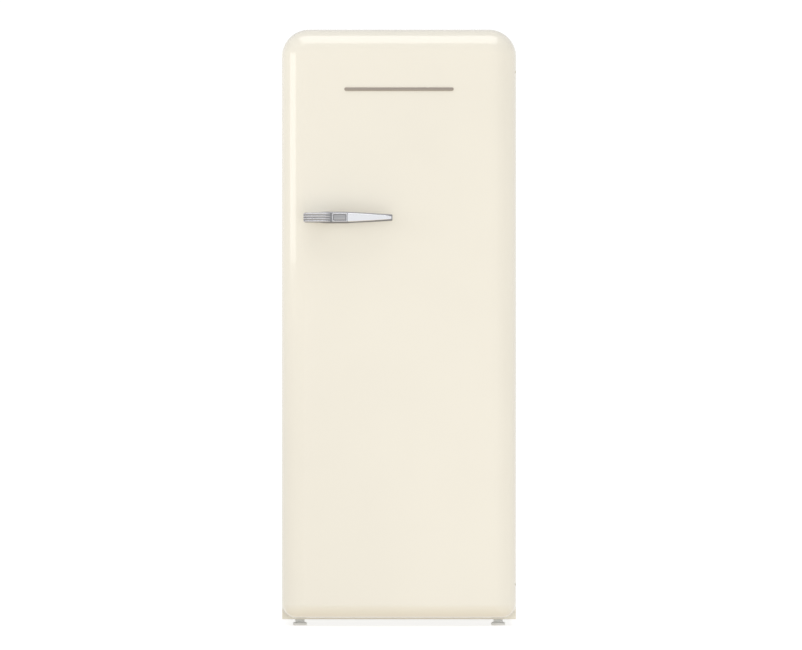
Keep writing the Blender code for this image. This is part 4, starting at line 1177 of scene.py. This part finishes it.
def softbox(name, place_at, aim, width, height, power, diffuse=True, glossy=True):
    """A rectangular studio light that the camera doesn't see."""
    light = bpy.data.lights.new(name, "AREA")
    light.shape = "RECTANGLE"
    light.size, light.size_y = width, height
    light.energy = power
    item = bpy.data.objects.new(name, light)
    item.location = place_at
    item.rotation_mode = "QUATERNION"
    item.rotation_quaternion = (Vector(aim) - Vector(place_at)).to_track_quat("-Z", "Y")
    item.visible_camera = False
    item.visible_diffuse = diffuse
    item.visible_glossy = glossy
    add(item)


# Colour of the surroundings from straight down (0.0) over the horizon (0.5) to straight up (1.0).
SURROUND = (
    (0.18, (0.88, 0.81, 0.7)), (0.42, (1.0, 1.0, 1.0)), (0.54, (1.0, 1.0, 1.0)),
    (0.72, (0.62, 0.62, 0.63)),
)


def surround():
    """A white horizon all round, dimmer overhead and underfoot."""
    world = bpy.data.worlds.new("studio")
    world.use_nodes = True
    nodes, links = world.node_tree.nodes, world.node_tree.links
    where = nodes.new("ShaderNodeTexCoord")
    split = nodes.new("ShaderNodeSeparateXYZ")
    height = nodes.new("ShaderNodeMapRange")
    height.inputs["From Min"].default_value = -1.0
    shade = nodes.new("ShaderNodeValToRGB")
    shade.color_ramp.interpolation = "EASE"
    stops = shade.color_ramp.elements
    while len(stops) < len(SURROUND):
        stops.new(0.5)
    for stop, (position, colour) in zip(stops, SURROUND):
        stop.position = position
        stop.color = (*colour, 1.0)
    links.new(where.outputs["Generated"], split.inputs["Vector"])
    links.new(split.outputs["Z"], height.inputs["Value"])
    links.new(height.outputs["Result"], shade.inputs["Fac"])
    links.new(shade.outputs["Color"], nodes["Background"].inputs["Color"])
    nodes["Background"].inputs["Strength"].default_value = 1.06
    bpy.context.scene.world = world


def light_scene():
    """Soft light from above, the left, the front and the back, in a white room."""
    surround()
    bpy.context.scene.view_settings.view_transform = "Standard"
    softbox("overhead", (0.0, -1.11, 3.3), (0.0, -1.11, 0.0), 2.4, 1.73, 18.0)
    softbox("gleam", (0.0, -1.11, 3.31), (0.0, -1.11, 0.0), 2.4, 1.73, 6.5, diffuse=False)
    softbox("left_strip", (-1.9, -1.15, 1.43), (-0.3, -0.3, 1.43), 1.1, 0.95, 6.0)
    softbox("front_fill", (0.6, -5.5, 1.4), (0.0, 0.0, 0.8), 3.0, 2.4, 19.0, glossy=False)
    softbox("low_fill", (0.45, -1.6, 0.35), (0.2, 0.0, 0.35), 1.6, 0.9, 3.5, glossy=False)
    softbox("back_fill", (0.8, 2.8, 2.2), (0.0, 0.3, 0.8), 2.4, 2.0, 25.0, glossy=False)


def add_camera():
    """A long lens, level with the view, as in the photograph."""
    data = bpy.data.cameras.new("camera")
    data.sensor_width = SENSOR
    data.lens = SENSOR * CAMERA_DISTANCE / VIEW_WIDTH
    data.clip_end = 200.0
    camera = bpy.data.objects.new("camera", data)
    widest = DOOR_FACE + DOOR_SIDE_ROUND
    camera.location = (VIEW_CENTRE_X, widest - CAMERA_DISTANCE, VIEW_CENTRE_Z)
    camera.rotation_euler = (math.radians(90), 0.0, 0.0)
    add(camera)
    bpy.context.scene.camera = camera


# ---- The whole scene ----


PIECES = (
    cabinet_shell, door_shell, badge, handle, door_seal, door_bins, bin_rails, wire_rack, freezer_flap,
    vegetable_drawer, evaporator_channels, thermostat, lamp, drain_gutter, hermetic_compressor, condenser,
    pipework, pressure_tube, capillary_tube, rear_screws, hinge_screws, feet, rollers, inlet_pins,
)


def build():
    """The camera, the lights, the floor and every piece."""
    add_camera()
    light_scene()
    stage()
    keep_nodes()
    for make in PIECES:
        make()


build()
